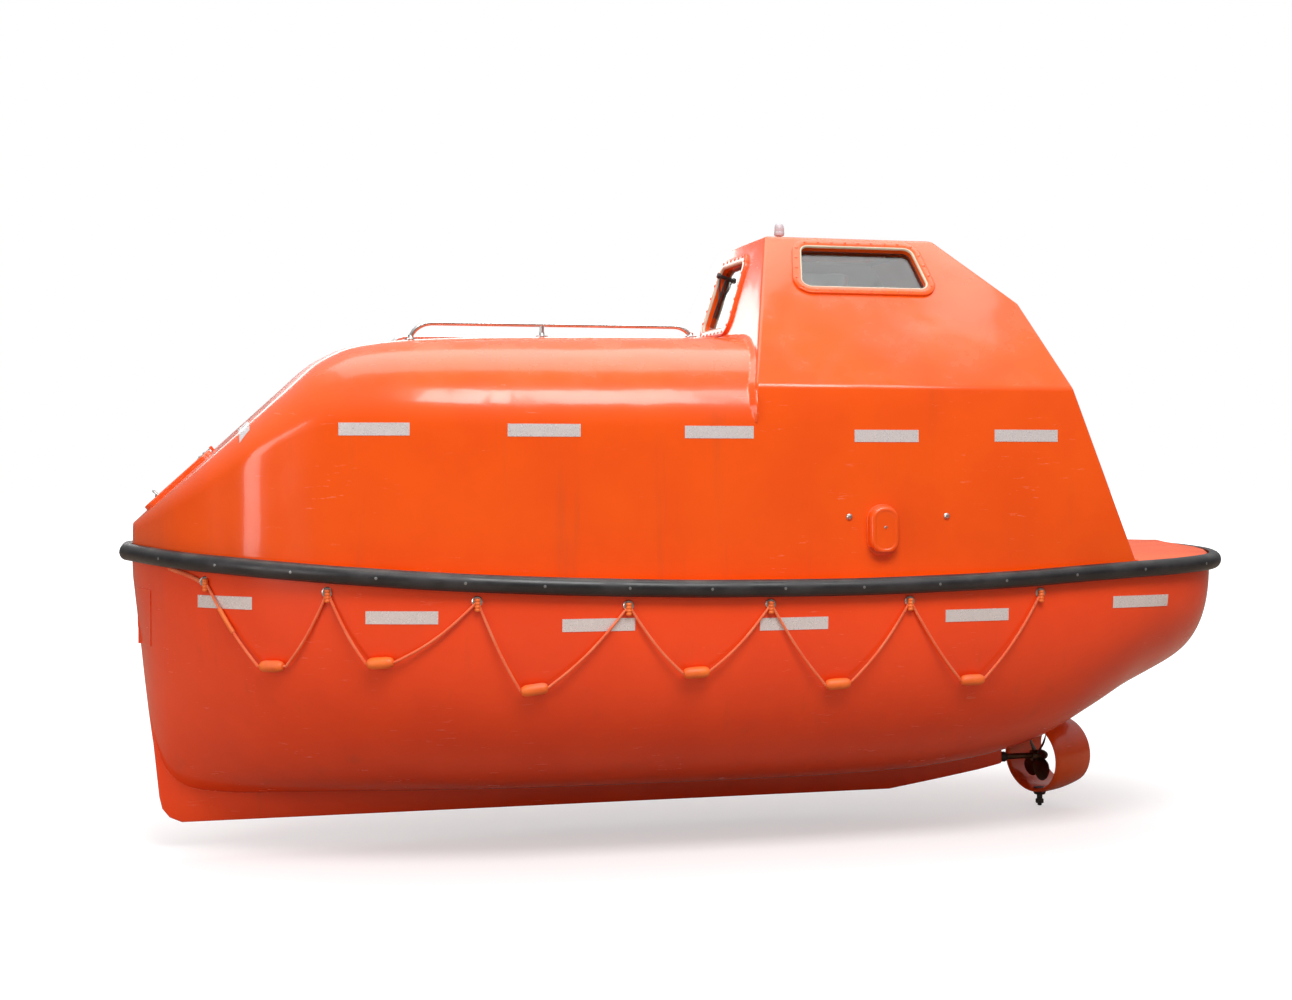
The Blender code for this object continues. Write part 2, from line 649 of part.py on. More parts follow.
def side_wall_frame(side):
    """Frame on the cab's side: X runs aft, Y up the slope from the crease. Side is -1 for port."""
    rise = ROOF - CREASE
    outward = Vector((0.0, side * rise, SIDE_HALF - ROOF_HALF))
    return wall_frame((0.0, side * SIDE_HALF, level(CREASE)), (1.0, 0.0, 0.0), outward)


def front_wall_frame():
    """Frame on the cab's front: X runs to port, Y up the slope from the crease."""
    outward = slope_out(BOX_FRONT, CAB_FRONT_TOP, -1.0)
    return wall_frame((BOX_FRONT[0], 0.0, level(CREASE)), (0.0, -1.0, 0.0), outward)


def upright_side_glass(side):
    """Corners of the side glass in the side wall's frame, anticlockwise on both sides."""
    if side < 0:
        return SIDE_GLASS
    return [(x, -y) for x, y in reversed(SIDE_GLASS)]


def make_window(name, cab, corners, frame, finishes):
    """Cut one window in the cab and fit its glass and its raised frame."""
    steps = 4
    hole = rounded_outline(corners, GLASS_CORNER, steps)
    opening = plate(hole, frame, -0.09, 0.05)
    combine(cab, cutter(name + "_opening_shape", opening), "DIFFERENCE")
    glass_outline = rounded_outline(grown(corners, -FIT_GAP), GLASS_CORNER, steps)
    glass_low = -0.5 * (SHELL + GLASS_THICK)
    piece(name, plate(glass_outline, frame, glass_low, glass_low + GLASS_THICK), finishes["glass"])
    rim = rounded_outline(grown(corners, RIM_OUT), GLASS_CORNER + RIM_OUT, steps)
    ring = ring_plate(rim, hole, frame, FIT_GAP, RIM_THICK)
    piece(name + "_frame", ring, finishes["orange"])


def make_windows(cab, finishes):
    """Two side windows and the windscreen."""
    for side, word in ((-1, "port"), (1, "starboard")):
        frame = side_wall_frame(side)
        make_window("side_window_" + word, cab, upright_side_glass(side), frame, finishes)
    make_window("windscreen", cab, FRONT_GLASS, front_wall_frame(), finishes)


def make_deck(finish, tools):
    """Aft deck slab, flush with the top of the fender."""
    sections = []
    for row in [r for r in HULL_STATIONS if r[0] > 1.60]:
        x = row[0] - 0.004
        half = row[1] - 0.006
        edge = level(row[3] + FENDER_HALF)
        low = level(row[3]) - 0.01
        sections.append([(x, -half, low), (x, half, low), (x, half, edge - 0.008),
                         (x, half - 0.02, edge), (x, 0.0, edge + 0.012),
                         (x, 0.02 - half, edge), (x, -half, edge - 0.008)])
    deck = piece("aft_deck", loft(sections), finish)
    combine(deck, tools["below_sheer"], "DIFFERENCE")
    aft_plane = 3
    point, outward = box_planes(-FIT_GAP)[aft_plane]
    combine(deck, cutter("deck_edge_shape", solid_between([(point, outward)])), "DIFFERENCE")
    return deck


def gunwale_path():
    """Points round the hull's edge, from the bow down the port side, round the stern and back."""
    port = [(row[0], -row[1], level(row[3])) for row in HULL_STATIONS]
    starboard = [(x, -y, z) for x, y, z in reversed(port)]
    return [Vector(point) for point in port + starboard]


def make_fender(finish):
    """Rubber belt all round the hull's edge, D-shaped in section."""
    depth = FENDER_DEEP
    half = FENDER_HALF
    profile = [(0.0008, -half), (0.6 * depth, -half), (0.9 * depth, -0.62 * half), (depth, 0.0),
               (0.9 * depth, 0.62 * half), (0.6 * depth, half), (0.0008, half)]
    path = gunwale_path()
    count = len(path)
    rings = []
    for i, point in enumerate(path):
        into = (point - path[i - 1]).to_2d().normalized()
        out = (path[(i + 1) % count] - point).to_2d().normalized()
        normal_in = Vector((into.y, -into.x))
        normal_out = Vector((out.y, -out.x))
        middle = (normal_in + normal_out).normalized()
        reach = min(1.0 / middle.dot(normal_in), 1.35)
        away = Vector((middle.x, middle.y, 0.0)) * reach
        rings.append([point + away * d + Vector((0.0, 0.0, z)) for d, z in profile])
    bm = bmesh.new()
    verts = [[bm.verts.new(p) for p in ring] for ring in rings]
    size = len(profile)
    for i in range(count):
        near = verts[i]
        far = verts[(i + 1) % count]
        for a in range(size):
            b = (a + 1) % size
            bm.faces.new((near[a], near[b], far[b], far[a]))
    return piece("fender", bm, finish)


def set_pivot(thing, point):
    """Put a moving piece's origin on its axis and leave its shape where it is."""
    thing.data.transform(Matrix.Translation(-Vector(point)))
    thing.location = point


def hinge_parts(frame, half_u, rise, axis_w, radius, spots):
    """Knuckles for a lid whose hinge runs along the frame's Y, left of the lid.

    Gives the lid's knuckles, the holder's knuckles and the middle of the axis.
    """
    axis_u = -half_u - HINGE_OUT
    lid_shapes = []
    holder_shapes = []
    for spot in spots:
        ends = [(-KNUCKLE_HALF, KNUCKLE_HALF, lid_shapes)]
        near = KNUCKLE_HALF + FIT_GAP
        far = near + BRACKET_LONG
        ends.append((near, far, holder_shapes))
        ends.append((-far, -near, holder_shapes))
        for low, high, group in ends:
            path = [frame @ Vector((axis_u, spot + low, axis_w)),
                    frame @ Vector((axis_u, spot + high, axis_w))]
            group.append(even_tube(path, radius, 12))
            if group is lid_shapes:
                corners = [(axis_u, spot + low), (-half_u + 0.03, spot + low),
                           (-half_u + 0.03, spot + high), (axis_u, spot + high)]
                group.append(plate(corners, frame, axis_w - 0.45 * radius, axis_w + 0.45 * radius))
            else:
                left = axis_u - 0.7 * radius
                right = axis_u + 0.7 * radius
                corners = [(left, spot + low), (right, spot + low),
                           (right, spot + high), (left, spot + high)]
                seat = FIT_GAP if rise > 0.0 else -0.004
                group.append(plate(corners, frame, seat, axis_w))
                if rise > 0.0:
                    foot = [(axis_u, spot + low), (-half_u + 0.006, spot + low),
                            (-half_u + 0.006, spot + high), (axis_u, spot + high)]
                    group.append(plate(foot, frame, seat, rise - 0.002))
    return lid_shapes, holder_shapes, frame @ Vector((axis_u, 0.0, axis_w))


def make_hatch(row, shells, holder_shell, trim, finish):
    """Cut a hatch's opening, set its coaming round it and hang its lid on its hinge."""
    name, place, along, outward, half_u, half_v, narrower, rise, thick, radius, spots = row
    frame = wall_frame((place[0], place[1], level(place[2])), along, outward)
    outer_corners = tapered_rectangle(half_u, half_v, narrower)
    hole_corners = grown(outer_corners, -COAMING_WIDTH)
    outline = rounded_outline(outer_corners, HATCH_CORNER, 3)
    hole = rounded_outline(hole_corners, HATCH_CORNER - 0.02, 3)
    opening = cutter(name + "_opening_shape", plate(hole, frame, -0.16, 0.12))
    for shell in shells:
        combine(shell, opening, "DIFFERENCE")
    lid = piece(name, plate(outline, frame, rise + FIT_GAP, rise + thick), finish)
    axis_w = rise + max(thick, radius + 0.005)
    lid_shapes, holder_shapes, pivot = hinge_parts(frame, half_u, rise, axis_w, radius, spots)
    for i, shape in enumerate(lid_shapes):
        combine(lid, cutter(name + "_knuckle_shape_" + str(i), shape), "UNION")
    if rise > 0.0:
        depth = -0.10 if trim else FIT_GAP
        ring = ring_plate(outline, hole, frame, depth, rise)
        holder = piece(name.split("_")[0] + "_coaming", ring, finish)
    else:
        holder = holder_shell
    for i, shape in enumerate(holder_shapes):
        combine(holder, cutter(name + "_bracket_shape_" + str(i), shape), "UNION")
    if trim:
        combine(holder, trim, "DIFFERENCE")
    set_pivot(lid, pivot)
    return lid


def make_hatches(canopy, cab, finish):
    """Bow hatch, starboard boarding door, aft door and roof hatch."""
    skin = loft([shoulder_section(row, -FIT_GAP, 0.9) for row in CANOPY_STATIONS])
    trim = cutter("canopy_skin_shape", skin)
    walls = {"bow_hatch": ([canopy], None), "side_door": ([canopy], None),
             "aft_door": ([canopy, cab], None), "roof_hatch": ([cab], cab)}
    for row in HATCHES:
        shells, holder = walls[row[0]]
        on_curved_skin = row[0] in ("side_door", "bow_hatch")
        make_hatch(row, shells, holder, trim if on_curved_skin else None, finish)


def make_vents(finish):
    """Capsule-shaped vent cowls low on both sides."""
    for side, word in ((-1, "port"), (1, "starboard")):
        place = (VENT_PLACE[0], side * SIDE_HALF, level(VENT_PLACE[1]))
        frame = wall_frame(place, (1.0, 0.0, 0.0), (0.0, side, 0.0))
        sections = []
        for inset, w in VENT_LAYERS:
            corners = rectangle(VENT_HALF[0] - inset, VENT_HALF[1] - inset)
            outline = rounded_outline(corners, VENT_CORNER - inset, 4)
            sections.append([frame @ Vector((u, v, w)) for u, v in outline])
        piece("vent_cowl_" + word, loft(sections), finish)


def canopy_top(x, side):
    """Height of the canopy's skin at x and a distance from the centreline inside its shoulders."""
    _, half, crown, run_in, _ = between(CANOPY_STATIONS, x)
    flat = half - run_in
    return crown - CROWN_CAMBER * min(side / flat, 1.0)


def make_handrails(finish):
    """Two tube handrails on top of the canopy, each with a post in the middle."""
    for side, word in ((-1, "port"), (1, "starboard")):
        y = side * RAIL_SIDE
        path = [(x, y, level(z)) for x, z in RAIL_PATH]
        feet = []
        for x in RAIL_FEET:
            skin = level(canopy_top(x, RAIL_SIDE))
            feet.append([(x, y, skin + 0.0020), (x, y, skin + 0.0100)])
        path = feet[0] + path + feet[1][::-1]
        rail = piece("handrail_" + word, even_tube(path, RAIL_RADIUS, 8), finish)
        foot = (RAIL_POST_X, y, level(canopy_top(RAIL_POST_X, RAIL_SIDE)) + 0.0005)
        post = even_tube([foot, (RAIL_POST_X, y, level(RAIL_TOP))], RAIL_RADIUS * 0.9, 8)
        combine(rail, cutter("rail_post_shape_" + word, post), "UNION")


def make_lamp(finish):
    """Roof lamp on its post."""
    foot = (LAMP_X, 0.0, level(ROOF))
    piece("roof_lamp", turned_bar(LAMP_PROFILE, foot, (0.0, 0.0, 1.0), 12), finish)


def make_wiper(finish):
    """Hand wiper of the windscreen: spindle, arm and blade on the outer face of the glass."""
    frame = front_wall_frame()
    face = -0.5 * (SHELL - GLASS_THICK) + FIT_GAP
    spindle = [frame @ Vector((*WIPER_SPINDLE, w)) for w in (face, 0.012, 0.013, 0.028)]
    wiper = piece("screen_wiper", tube(spindle, [0.009, 0.009, 0.014, 0.012], 10), finish)
    arm = [(*WIPER_SPINDLE, 0.006), (*WIPER_ELBOW, 0.006), (*WIPER_ARM_END, face + 0.010)]
    arm_shape = even_tube([frame @ Vector(p) for p in arm], 0.004, 6)
    combine(wiper, cutter("wiper_arm_shape", arm_shape), "UNION")
    blade = [(u, v, face + 0.006) for u, v in WIPER_BLADE]
    blade_bar = even_tube([frame @ Vector(p) for p in blade], 0.005, 6)
    combine(wiper, cutter("wiper_blade_shape", blade_bar), "UNION")


def make_inside(finishes):
    """Engine, its casing, helm seat, console and wheel."""
    piece("engine_block", block(ENGINE_BLOCK), finishes["iron"])
    casing = piece("engine_casing", block(ENGINE_CASING), finishes["inside"])
    combine(casing, cutter("casing_hollow_shape", block(CASING_HOLLOW)), "DIFFERENCE")
    side_frame = wall_frame((0.0, 0.0, 0.0), (1.0, 0.0, 0.0), (0.0, -1.0, 0.0))
    seat = plate([(x, level(z)) for x, z in SEAT_OUTLINE], side_frame, -SEAT_HALF, SEAT_HALF)
    piece("helm_seat", seat, finishes["seat"])
    sections = []
    for height, fore, aft, half in CONSOLE_STATIONS:
        z = level(height)
        sections.append([(fore, -half, z), (aft, -half, z), (aft, half, z), (fore, half, z)])
    piece("helm_console", loft(sections), finishes["inside"])
    make_wheel(finishes["rubber"])


def console_face(height):
    """X of the console's aft face at a height."""
    rows = [(row[0], row[2]) for row in CONSOLE_STATIONS]
    return between(rows, height)[1]


def make_wheel(finish):
    """Helm wheel: a rim, a hub that meets the console, and three spokes."""
    profile = []
    for k in range(6):
        angle = 2.0 * math.pi * k / 6
        profile.append((WHEEL_GRIP * math.cos(angle), WHEEL_RADIUS + WHEEL_GRIP * math.sin(angle)))
    x, y, height = WHEEL_PLACE
    z = level(height)
    wheel = piece("helm_wheel", turned_ring(profile, (x, y, z), 24), finish)
    face = console_face(height) + 0.001
    hub = tube([(face, y, z), (x - 0.012, y, z), (x + 0.014, y, z)], [0.020, 0.026, 0.022], 12)
    combine(wheel, cutter("wheel_hub_shape", hub), "UNION")
    for k in range(WHEEL_SPOKES):
        angle = math.radians(90.0 + 360.0 * k / WHEEL_SPOKES)
        tip = (x, y + WHEEL_RADIUS * math.cos(angle), z + WHEEL_RADIUS * math.sin(angle))
        spoke = even_tube([(x, y, z), tip], 0.007, 6)
        combine(wheel, cutter("wheel_spoke_shape_" + str(k), spoke), "UNION")
    set_pivot(wheel, (x, y, z))


def make_nozzle(finish):
    """Steering nozzle with its stock on top and its foot pin below, turned by the helm angle."""
    centre = Vector((STOCK_X, 0.0, level(SHAFT_HEIGHT)))
    ring = turned_ring(NOZZLE_PROFILE, (0.0, 0.0, 0.0), 36)
    ring.transform(Matrix.Rotation(math.radians(-NOZZLE_TILT), 4, "Y"))
    nozzle = piece("steering_nozzle", ring, finish)
    for name, profile in (("stock_shape", STOCK_PROFILE), ("foot_pin_shape", PIN_PROFILE)):
        bar = turned_bar(profile, centre, (0.0, 0.0, 1.0), 12)
        combine(nozzle, cutter(name, bar), "UNION")
    nozzle.data.transform(Matrix.Rotation(math.radians(HELM_ANGLE), 4, "Z"))
    nozzle.location = centre
    return nozzle


def make_stern_gear(finishes):
    """Stock bearing under the hull, shaft and propeller."""
    centre = Vector((STOCK_X, 0.0, level(SHAFT_HEIGHT)))
    low = centre.z + STOCK_PROFILE[-1][0] + FIT_GAP
    path = [(STOCK_X, 0.0, low), (STOCK_X, 0.0, low + 0.006), (STOCK_X, 0.0, low + 0.09)]
    bearing = piece("stock_bearing", tube(path, [0.042, 0.048, 0.048], 16), finishes["iron"])
    rows = [row for row in HULL_STATIONS if row[0] > 0.5]
    form = cutter("hull_form_shape", loft([hull_section(row, FIT_GAP) for row in rows]))
    combine(bearing, form, "DIFFERENCE")

    shaft_z = centre.z
    tube_path = [(KEEL_END_X + FIT_GAP, 0.0, shaft_z), (1.490, 0.0, shaft_z), (SHAFT_START, 0.0, shaft_z)]
    piece("stern_tube", tube(tube_path, [0.024, 0.024, 0.018], 12), finishes["bronze"])
    make_propeller(finishes["bronze"], shaft_z)


def blade_shape(turn, centre):
    """One propeller blade: twisted sections along a radius, curved round the hub's axis."""
    sections = []
    for radius, chord, thick, pitch in BLADE_SECTIONS:
        angle = math.radians(pitch)
        ring = []
        for s, t in ((-0.5, 0.0), (-0.2, 0.5), (0.2, 0.5), (0.5, 0.0), (0.2, -0.5), (-0.2, -0.5)):
            across = s * chord * math.cos(angle) - t * thick * math.sin(angle)
            along = s * chord * math.sin(angle) + t * thick * math.cos(angle)
            place = turn + across / max(radius, 0.03)
            ring.append((centre[0] + along, centre[1] + radius * math.sin(place),
                         centre[2] + radius * math.cos(place)))
        sections.append(ring)
    return loft(sections)


def make_propeller(finish, shaft_z):
    """Four-bladed propeller, its blades at 45 degrees as it lies."""
    centre = (PROP_X, 0.0, shaft_z)
    profile = [(SHAFT_START + FIT_GAP - PROP_X, SHAFT_RADIUS)] + HUB_PROFILE
    propeller = piece("propeller", turned_bar(profile, centre, (1.0, 0.0, 0.0), 16), finish)
    for k in range(BLADES):
        turn = math.radians(45.0 + 360.0 * k / BLADES)
        combine(propeller, cutter("blade_shape_" + str(k), blade_shape(turn, centre)), "UNION")
    set_pivot(propeller, centre)


def make_hooks(finishes, tools):
    """Lifting hooks with their cheeks: on the hull's fore end, and on the recess's floor."""
    for name, x, seat, size in HOOKS:
        frame = wall_frame((x, 0.0, level(seat)), (1.0, 0.0, 0.0), (0.0, -1.0, 0.0))
        half = HOOK_BASE_HALF * size
        low = level(seat) + FIT_GAP - (HOOK_BASE_THICK if name == "fore_hook" else 0.0)
        high = level(seat) + FIT_GAP + HOOK_BASE_THICK
        base_plate = box((x - half, -HOOK_BASE_SIDE, low), (x + half, HOOK_BASE_SIDE, high))
        base = piece(name + "_base", base_plate, finishes["steel"])
        if name == "fore_hook":
            combine(base, tools["below_sheer"], "DIFFERENCE")
        cheek = [(-0.055 * size, 0.005), (0.055 * size, 0.005), (0.030 * size, HOOK_PIVOT * size + 0.03),
                 (-0.030 * size, HOOK_PIVOT * size + 0.03)]
        inner = HOOK_HALF + FIT_GAP
        for word, near in (("port", inner), ("starboard", -inner - CHEEK_THICK)):
            shape = plate(cheek, frame, near, near + CHEEK_THICK)
            combine(base, cutter(name + "_cheek_shape_" + word, shape), "UNION")
        hook = piece(name, plate(hook_outline(size), frame, -HOOK_HALF, HOOK_HALF), finishes["hook"])
        set_pivot(hook, frame @ Vector((0.0, HOOK_PIVOT * size, 0.0)))


def hook_outline(size):
    """Hook seen from the side: an arc that is open at the top fore side, on a shank."""
    outer = 0.055 * size
    inner = 0.030 * size
    eye = HOOK_EYE * size
    pivot = HOOK_PIVOT * size
    points = [(-0.030 * size, pivot - 0.03 * size), (0.030 * size, pivot - 0.03 * size)]
    for k in range(9):
        angle = math.radians(-40.0 + 170.0 * k / 8)
        points.append((outer * math.cos(angle), eye + outer * math.sin(angle)))
    for k in range(9):
        angle = math.radians(130.0 - 290.0 * k / 8)
        points.append((inner * math.cos(angle), eye + inner * math.sin(angle)))
    points.append((-outer, eye - 0.012 * size))
    points.append((-0.034 * size, eye - 0.050 * size))
    return points


def line_point(x, height, radius):
    """Point of the grab line beside the hull, clear of it by its own radius."""
    return Vector((x, hull_half(x, height) + radius + 0.004, level(height)))


def grab_line_path():
    """Points and radii of the grab line on the starboard side, from eye to eye through the floats."""
    stops = []
    for i, (x, height) in enumerate(LINE_EYES):
        stops.append((x, height, ROPE_RADIUS, 0.0))
        if i < len(LINE_FLOATS):
            fx, fz, tilt = LINE_FLOATS[i]
            slope = math.tan(math.radians(tilt))
            for along, radius in FLOAT_PROFILE:
                step = along * FLOAT_HALF
                stops.append((fx + step, fz + step * slope, radius, 1.0))
    path = []
    for near, far in zip(stops, stops[1:]):
        reach = FLOAT_RADIUS if near[3] > 0.0 else near[2]
        path.append((line_point(near[0], near[1], reach), near[2]))
        if near[3] != far[3]:
            for share in (0.25, 0.5, 0.75):
                x = near[0] + (far[0] - near[0]) * share
                sag = LINE_SAG * math.sin(math.pi * share)
                height = near[1] + (far[1] - near[1]) * share - sag
                lift = share if far[3] > 0.0 else 1.0 - share
                path.append((line_point(x, height, ROPE_RADIUS + lift * (FLOAT_RADIUS - ROPE_RADIUS)),
                             ROPE_RADIUS))
    path.append((line_point(stops[-1][0], stops[-1][1], ROPE_RADIUS), ROPE_RADIUS))
    return path


def make_grab_lines(finish):
    """Grab line with its floats on both sides, hung in loops from the eyes under the fender."""
    path = grab_line_path()
    form = cutter("line_hull_shape", loft([hull_section(row, FIT_GAP) for row in HULL_STATIONS]))
    for side, word in ((-1, "port"), (1, "starboard")):
        points = [(p.x, side * p.y, p.z) for p, _ in path]
        radii = [radius for _, radius in path]
        line = piece("grab_line_" + word, tube(points, radii, 8), finish)
        for k, (x, height) in enumerate(LINE_EYES):
            half = hull_half(x, height)
            ends = [(x, side * (half + d), level(height)) for d in EYE_ENDS]
            eye = cutter("line_eye_shape_" + word + str(k), even_tube(ends, EYE_RADIUS, 10))
            combine(eye, form, "DIFFERENCE")
            combine(line, eye, "UNION")


def make_finishes():
    """Every material of the boat."""
    return {
        "hull": paint("hull_gelcoat", HULL_ORANGE, 0.22),
        "orange": paint("canopy_gelcoat", ORANGE, 0.18),
        "deck": paint("deck_gelcoat", ORANGE, 0.35),
        "rubber": paint("black_rubber", (0.018, 0.018, 0.020, 1.0), 0.55),
        "glass": paint("tinted_glass", (0.20, 0.21, 0.22, 1.0), 0.08, 0.0, 0.45),
        "steel": paint("stainless_steel", (0.62, 0.60, 0.58, 1.0), 0.28, 1.0),
        "hook": paint("painted_hook", (0.55, 0.05, 0.03, 1.0), 0.4),
        "iron": paint("dark_iron", (0.06, 0.055, 0.05, 1.0), 0.6, 0.6),
        "bronze": paint("dark_bronze", (0.18, 0.12, 0.06, 1.0), 0.4, 1.0),
        "inside": paint("white_liner", (0.78, 0.78, 0.75, 1.0), 0.5),
        "seat": paint("grey_seat", (0.25, 0.26, 0.28, 1.0), 0.7),
        "rope": paint("orange_rope", (0.85, 0.20, 0.03, 1.0), 0.8),
        "lamp": paint("lamp_housing", (0.75, 0.75, 0.78, 1.0), 0.35),
    }


def main():
    """Build the whole boat."""
    for thing in list(bpy.data.objects):
        bpy.data.objects.remove(thing, do_unlink=True)
    finishes = make_finishes()
    tools = {
        "recess": recess_shape("recess_shape", 0.0),
        "recess_wall": recess_shape("recess_wall_shape", SHELL),
        "below_sheer": below_sheer_shape(),
    }
    make_hull(finishes["hull"])
    canopy = make_canopy(finishes["orange"], tools)
    cab = make_cab(finishes["orange"], tools)
    make_windows(cab, finishes)
    make_deck(finishes["deck"], tools)
    make_fender(finishes["rubber"])
    make_hatches(canopy, cab, finishes["orange"])
    make_vents(finishes["orange"])
    make_handrails(finishes["steel"])
    make_lamp(finishes["lamp"])
    make_wiper(finishes["iron"])
    make_inside(finishes)
    make_nozzle(finishes["hull"])
    make_stern_gear(finishes)
    make_hooks(finishes, tools)
    make_grab_lines(finishes["rope"])


main()
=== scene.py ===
"""Looks of the enclosed lifeboat: smooth gelcoat shells, rubber belt, glazing, ropes and stern gear.

Metres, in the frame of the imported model: bow towards -X, port is -Y, waterline at z = 0. Heights in the
tables are above the keel sole, as a boatbuilder gives them, and level() turns them into z.
"""
import math

import bmesh
import bpy
import numpy as np
from mathutils import Matrix, Vector


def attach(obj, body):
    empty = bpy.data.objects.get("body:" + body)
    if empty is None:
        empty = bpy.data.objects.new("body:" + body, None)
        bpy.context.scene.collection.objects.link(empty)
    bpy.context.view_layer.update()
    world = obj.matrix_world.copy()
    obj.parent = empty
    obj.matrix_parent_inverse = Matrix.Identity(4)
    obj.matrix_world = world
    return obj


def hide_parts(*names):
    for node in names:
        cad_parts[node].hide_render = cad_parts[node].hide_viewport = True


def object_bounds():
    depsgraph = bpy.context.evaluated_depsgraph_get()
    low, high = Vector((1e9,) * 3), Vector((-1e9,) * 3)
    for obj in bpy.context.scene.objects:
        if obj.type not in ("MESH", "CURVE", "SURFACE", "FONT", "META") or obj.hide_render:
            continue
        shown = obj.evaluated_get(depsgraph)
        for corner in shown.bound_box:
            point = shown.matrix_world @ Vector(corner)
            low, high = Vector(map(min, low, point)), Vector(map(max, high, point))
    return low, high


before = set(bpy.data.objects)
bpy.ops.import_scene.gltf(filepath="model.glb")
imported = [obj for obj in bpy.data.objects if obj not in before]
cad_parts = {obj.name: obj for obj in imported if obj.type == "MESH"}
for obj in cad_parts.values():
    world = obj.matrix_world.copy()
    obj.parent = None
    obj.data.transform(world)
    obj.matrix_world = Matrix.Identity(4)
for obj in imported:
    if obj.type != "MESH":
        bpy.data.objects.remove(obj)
CAD_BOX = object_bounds()

# The photograph's frame and the camera that took it
PHOTO_WIDE = 1292
PHOTO_HIGH = 1000
FOCAL_PIXELS = 1907.0
AXIS_PIXEL = (699.0, 460.0)      # where the camera's axis meets the picture
HEADING = math.radians(15.0)     # the camera looks this far from +Y towards +X
EYE_HEIGHT = 1.517
EYE_PLACE = (-2.226, -8.307)
SENSOR = 36.0

# Main measures. The crease and the roof are heights above the keel sole
DRAUGHT = 0.50
SHELL = 0.045
CREASE = 1.82                    # where the cab's sloping sides begin
ROOF = 2.49
SIDE_HALF = 0.93
ROOF_HALF = 0.38
EDGE_ROUND = 0.014
SIDES = ((-1, "port"), (1, "starboard"))
AFT, STARBOARD, UP = (1.0, 0.0, 0.0), (0.0, 1.0, 0.0), (0.0, 0.0, 1.0)

# Hull stations. Columns: x, half-breadth at the sheer, height of the bottom on the centreline,
# height of the sheer, fullness of the section (1 is a straight V)
HULL_STATIONS = [
    (-2.448, 0.130, 1.030, 1.140, 1.10),
    (-2.420, 0.200, 0.780, 1.138, 1.12),
    (-2.390, 0.262, 0.500, 1.135, 1.15),
    (-2.360, 0.320, 0.300, 1.132, 1.20),
    (-2.300, 0.420, 0.170, 1.126, 1.30),
    (-2.200, 0.545, 0.125, 1.117, 1.45),
    (-2.090, 0.645, 0.115, 1.109, 1.62),
    (-1.950, 0.755, 0.110, 1.098, 1.80),
    (-1.800, 0.842, 0.110, 1.087, 1.95),
    (-1.600, 0.930, 0.110, 1.073, 2.10),
    (-1.200, 1.030, 0.110, 1.048, 2.35),
    (-0.700, 1.062, 0.110, 1.025, 2.55),
    (-0.200, 1.065, 0.110, 1.011, 2.60),
    (0.300, 1.062, 0.110, 1.008, 2.60),
    (0.800, 1.042, 0.122, 1.016, 2.60),
    (1.100, 1.022, 0.150, 1.026, 2.58),
    (1.400, 0.998, 0.212, 1.043, 2.50),
    (1.650, 0.974, 0.335, 1.055, 2.40),
    (1.840, 0.942, 0.440, 1.063, 2.30),
    (1.960, 0.905, 0.495, 1.070, 2.30),
    (2.060, 0.845, 0.540, 1.075, 2.35),
    (2.130, 0.755, 0.575, 1.079, 2.45),
    (2.190, 0.630, 0.620, 1.082, 2.60),
    (2.240, 0.470, 0.700, 1.085, 2.70),
    (2.272, 0.310, 0.820, 1.086, 2.80),
    (2.288, 0.160, 0.960, 1.087, 2.80),
]
HULL_ENDS = (HULL_STATIONS[0][0], HULL_STATIONS[-1][0])
# Keel and stem bar, seen from the side. Columns: x, height
KEEL_OUTLINE = [
    (-2.448, 1.100), (-2.342, 0.110), (-2.330, 0.060), (-2.300, 0.022), (-2.250, 0.000),
    (0.900, 0.000), (1.140, 0.037), (1.340, 0.070), (1.460, 0.095), (1.460, 0.215),
    (1.400, 0.260), (0.900, 0.190), (-2.100, 0.190), (-2.280, 0.240), (-2.380, 1.080),
]
KEEL_HALF = 0.042
WELL_STATIONS = [(-1.70, 0.58), (-1.20, 0.80), (-0.60, 0.86), (0.90, 0.86), (1.62, 0.82)]
BENCH_TOP = 0.68
FOOT_WELL = (-1.50, 1.55, 0.36, 0.34)    # from x, to x, half-width, floor height

# Fore canopy stations. Columns: x, half-width of the side, crown height,
# how far the shoulder runs in, how far the shoulder runs down
CANOPY_STATIONS = [
    (-2.446, 0.118, 1.256, 0.050, 0.040),
    (-2.400, 0.228, 1.300, 0.060, 0.055),
    (-2.290, 0.422, 1.402, 0.085, 0.085),
    (-2.200, 0.518, 1.486, 0.110, 0.110),
    (-2.090, 0.605, 1.589, 0.140, 0.135),
    (-1.990, 0.680, 1.682, 0.170, 0.160),
    (-1.860, 0.735, 1.803, 0.230, 0.200),
    (-1.722, 0.790, 1.925, 0.300, 0.270),
    (-1.583, 0.830, 1.990, 0.360, 0.320),
    (-1.340, 0.885, 2.025, 0.430, 0.360),
    (-1.000, 0.930, 2.040, 0.470, 0.380),
    (-0.500, 0.930, 2.050, 0.480, 0.390),
    (0.120, 0.930, 2.058, 0.480, 0.395),
]
CANOPY_ENDS = (CANOPY_STATIONS[0][0], CANOPY_STATIONS[-1][0])
CROWN_CAMBER = 0.015
CAMBER_HALF = 0.45               # flat half-width from which on the crown has its whole camber
LINED_DEPTH = 0.6 * SHELL        # faces further in than this are lined

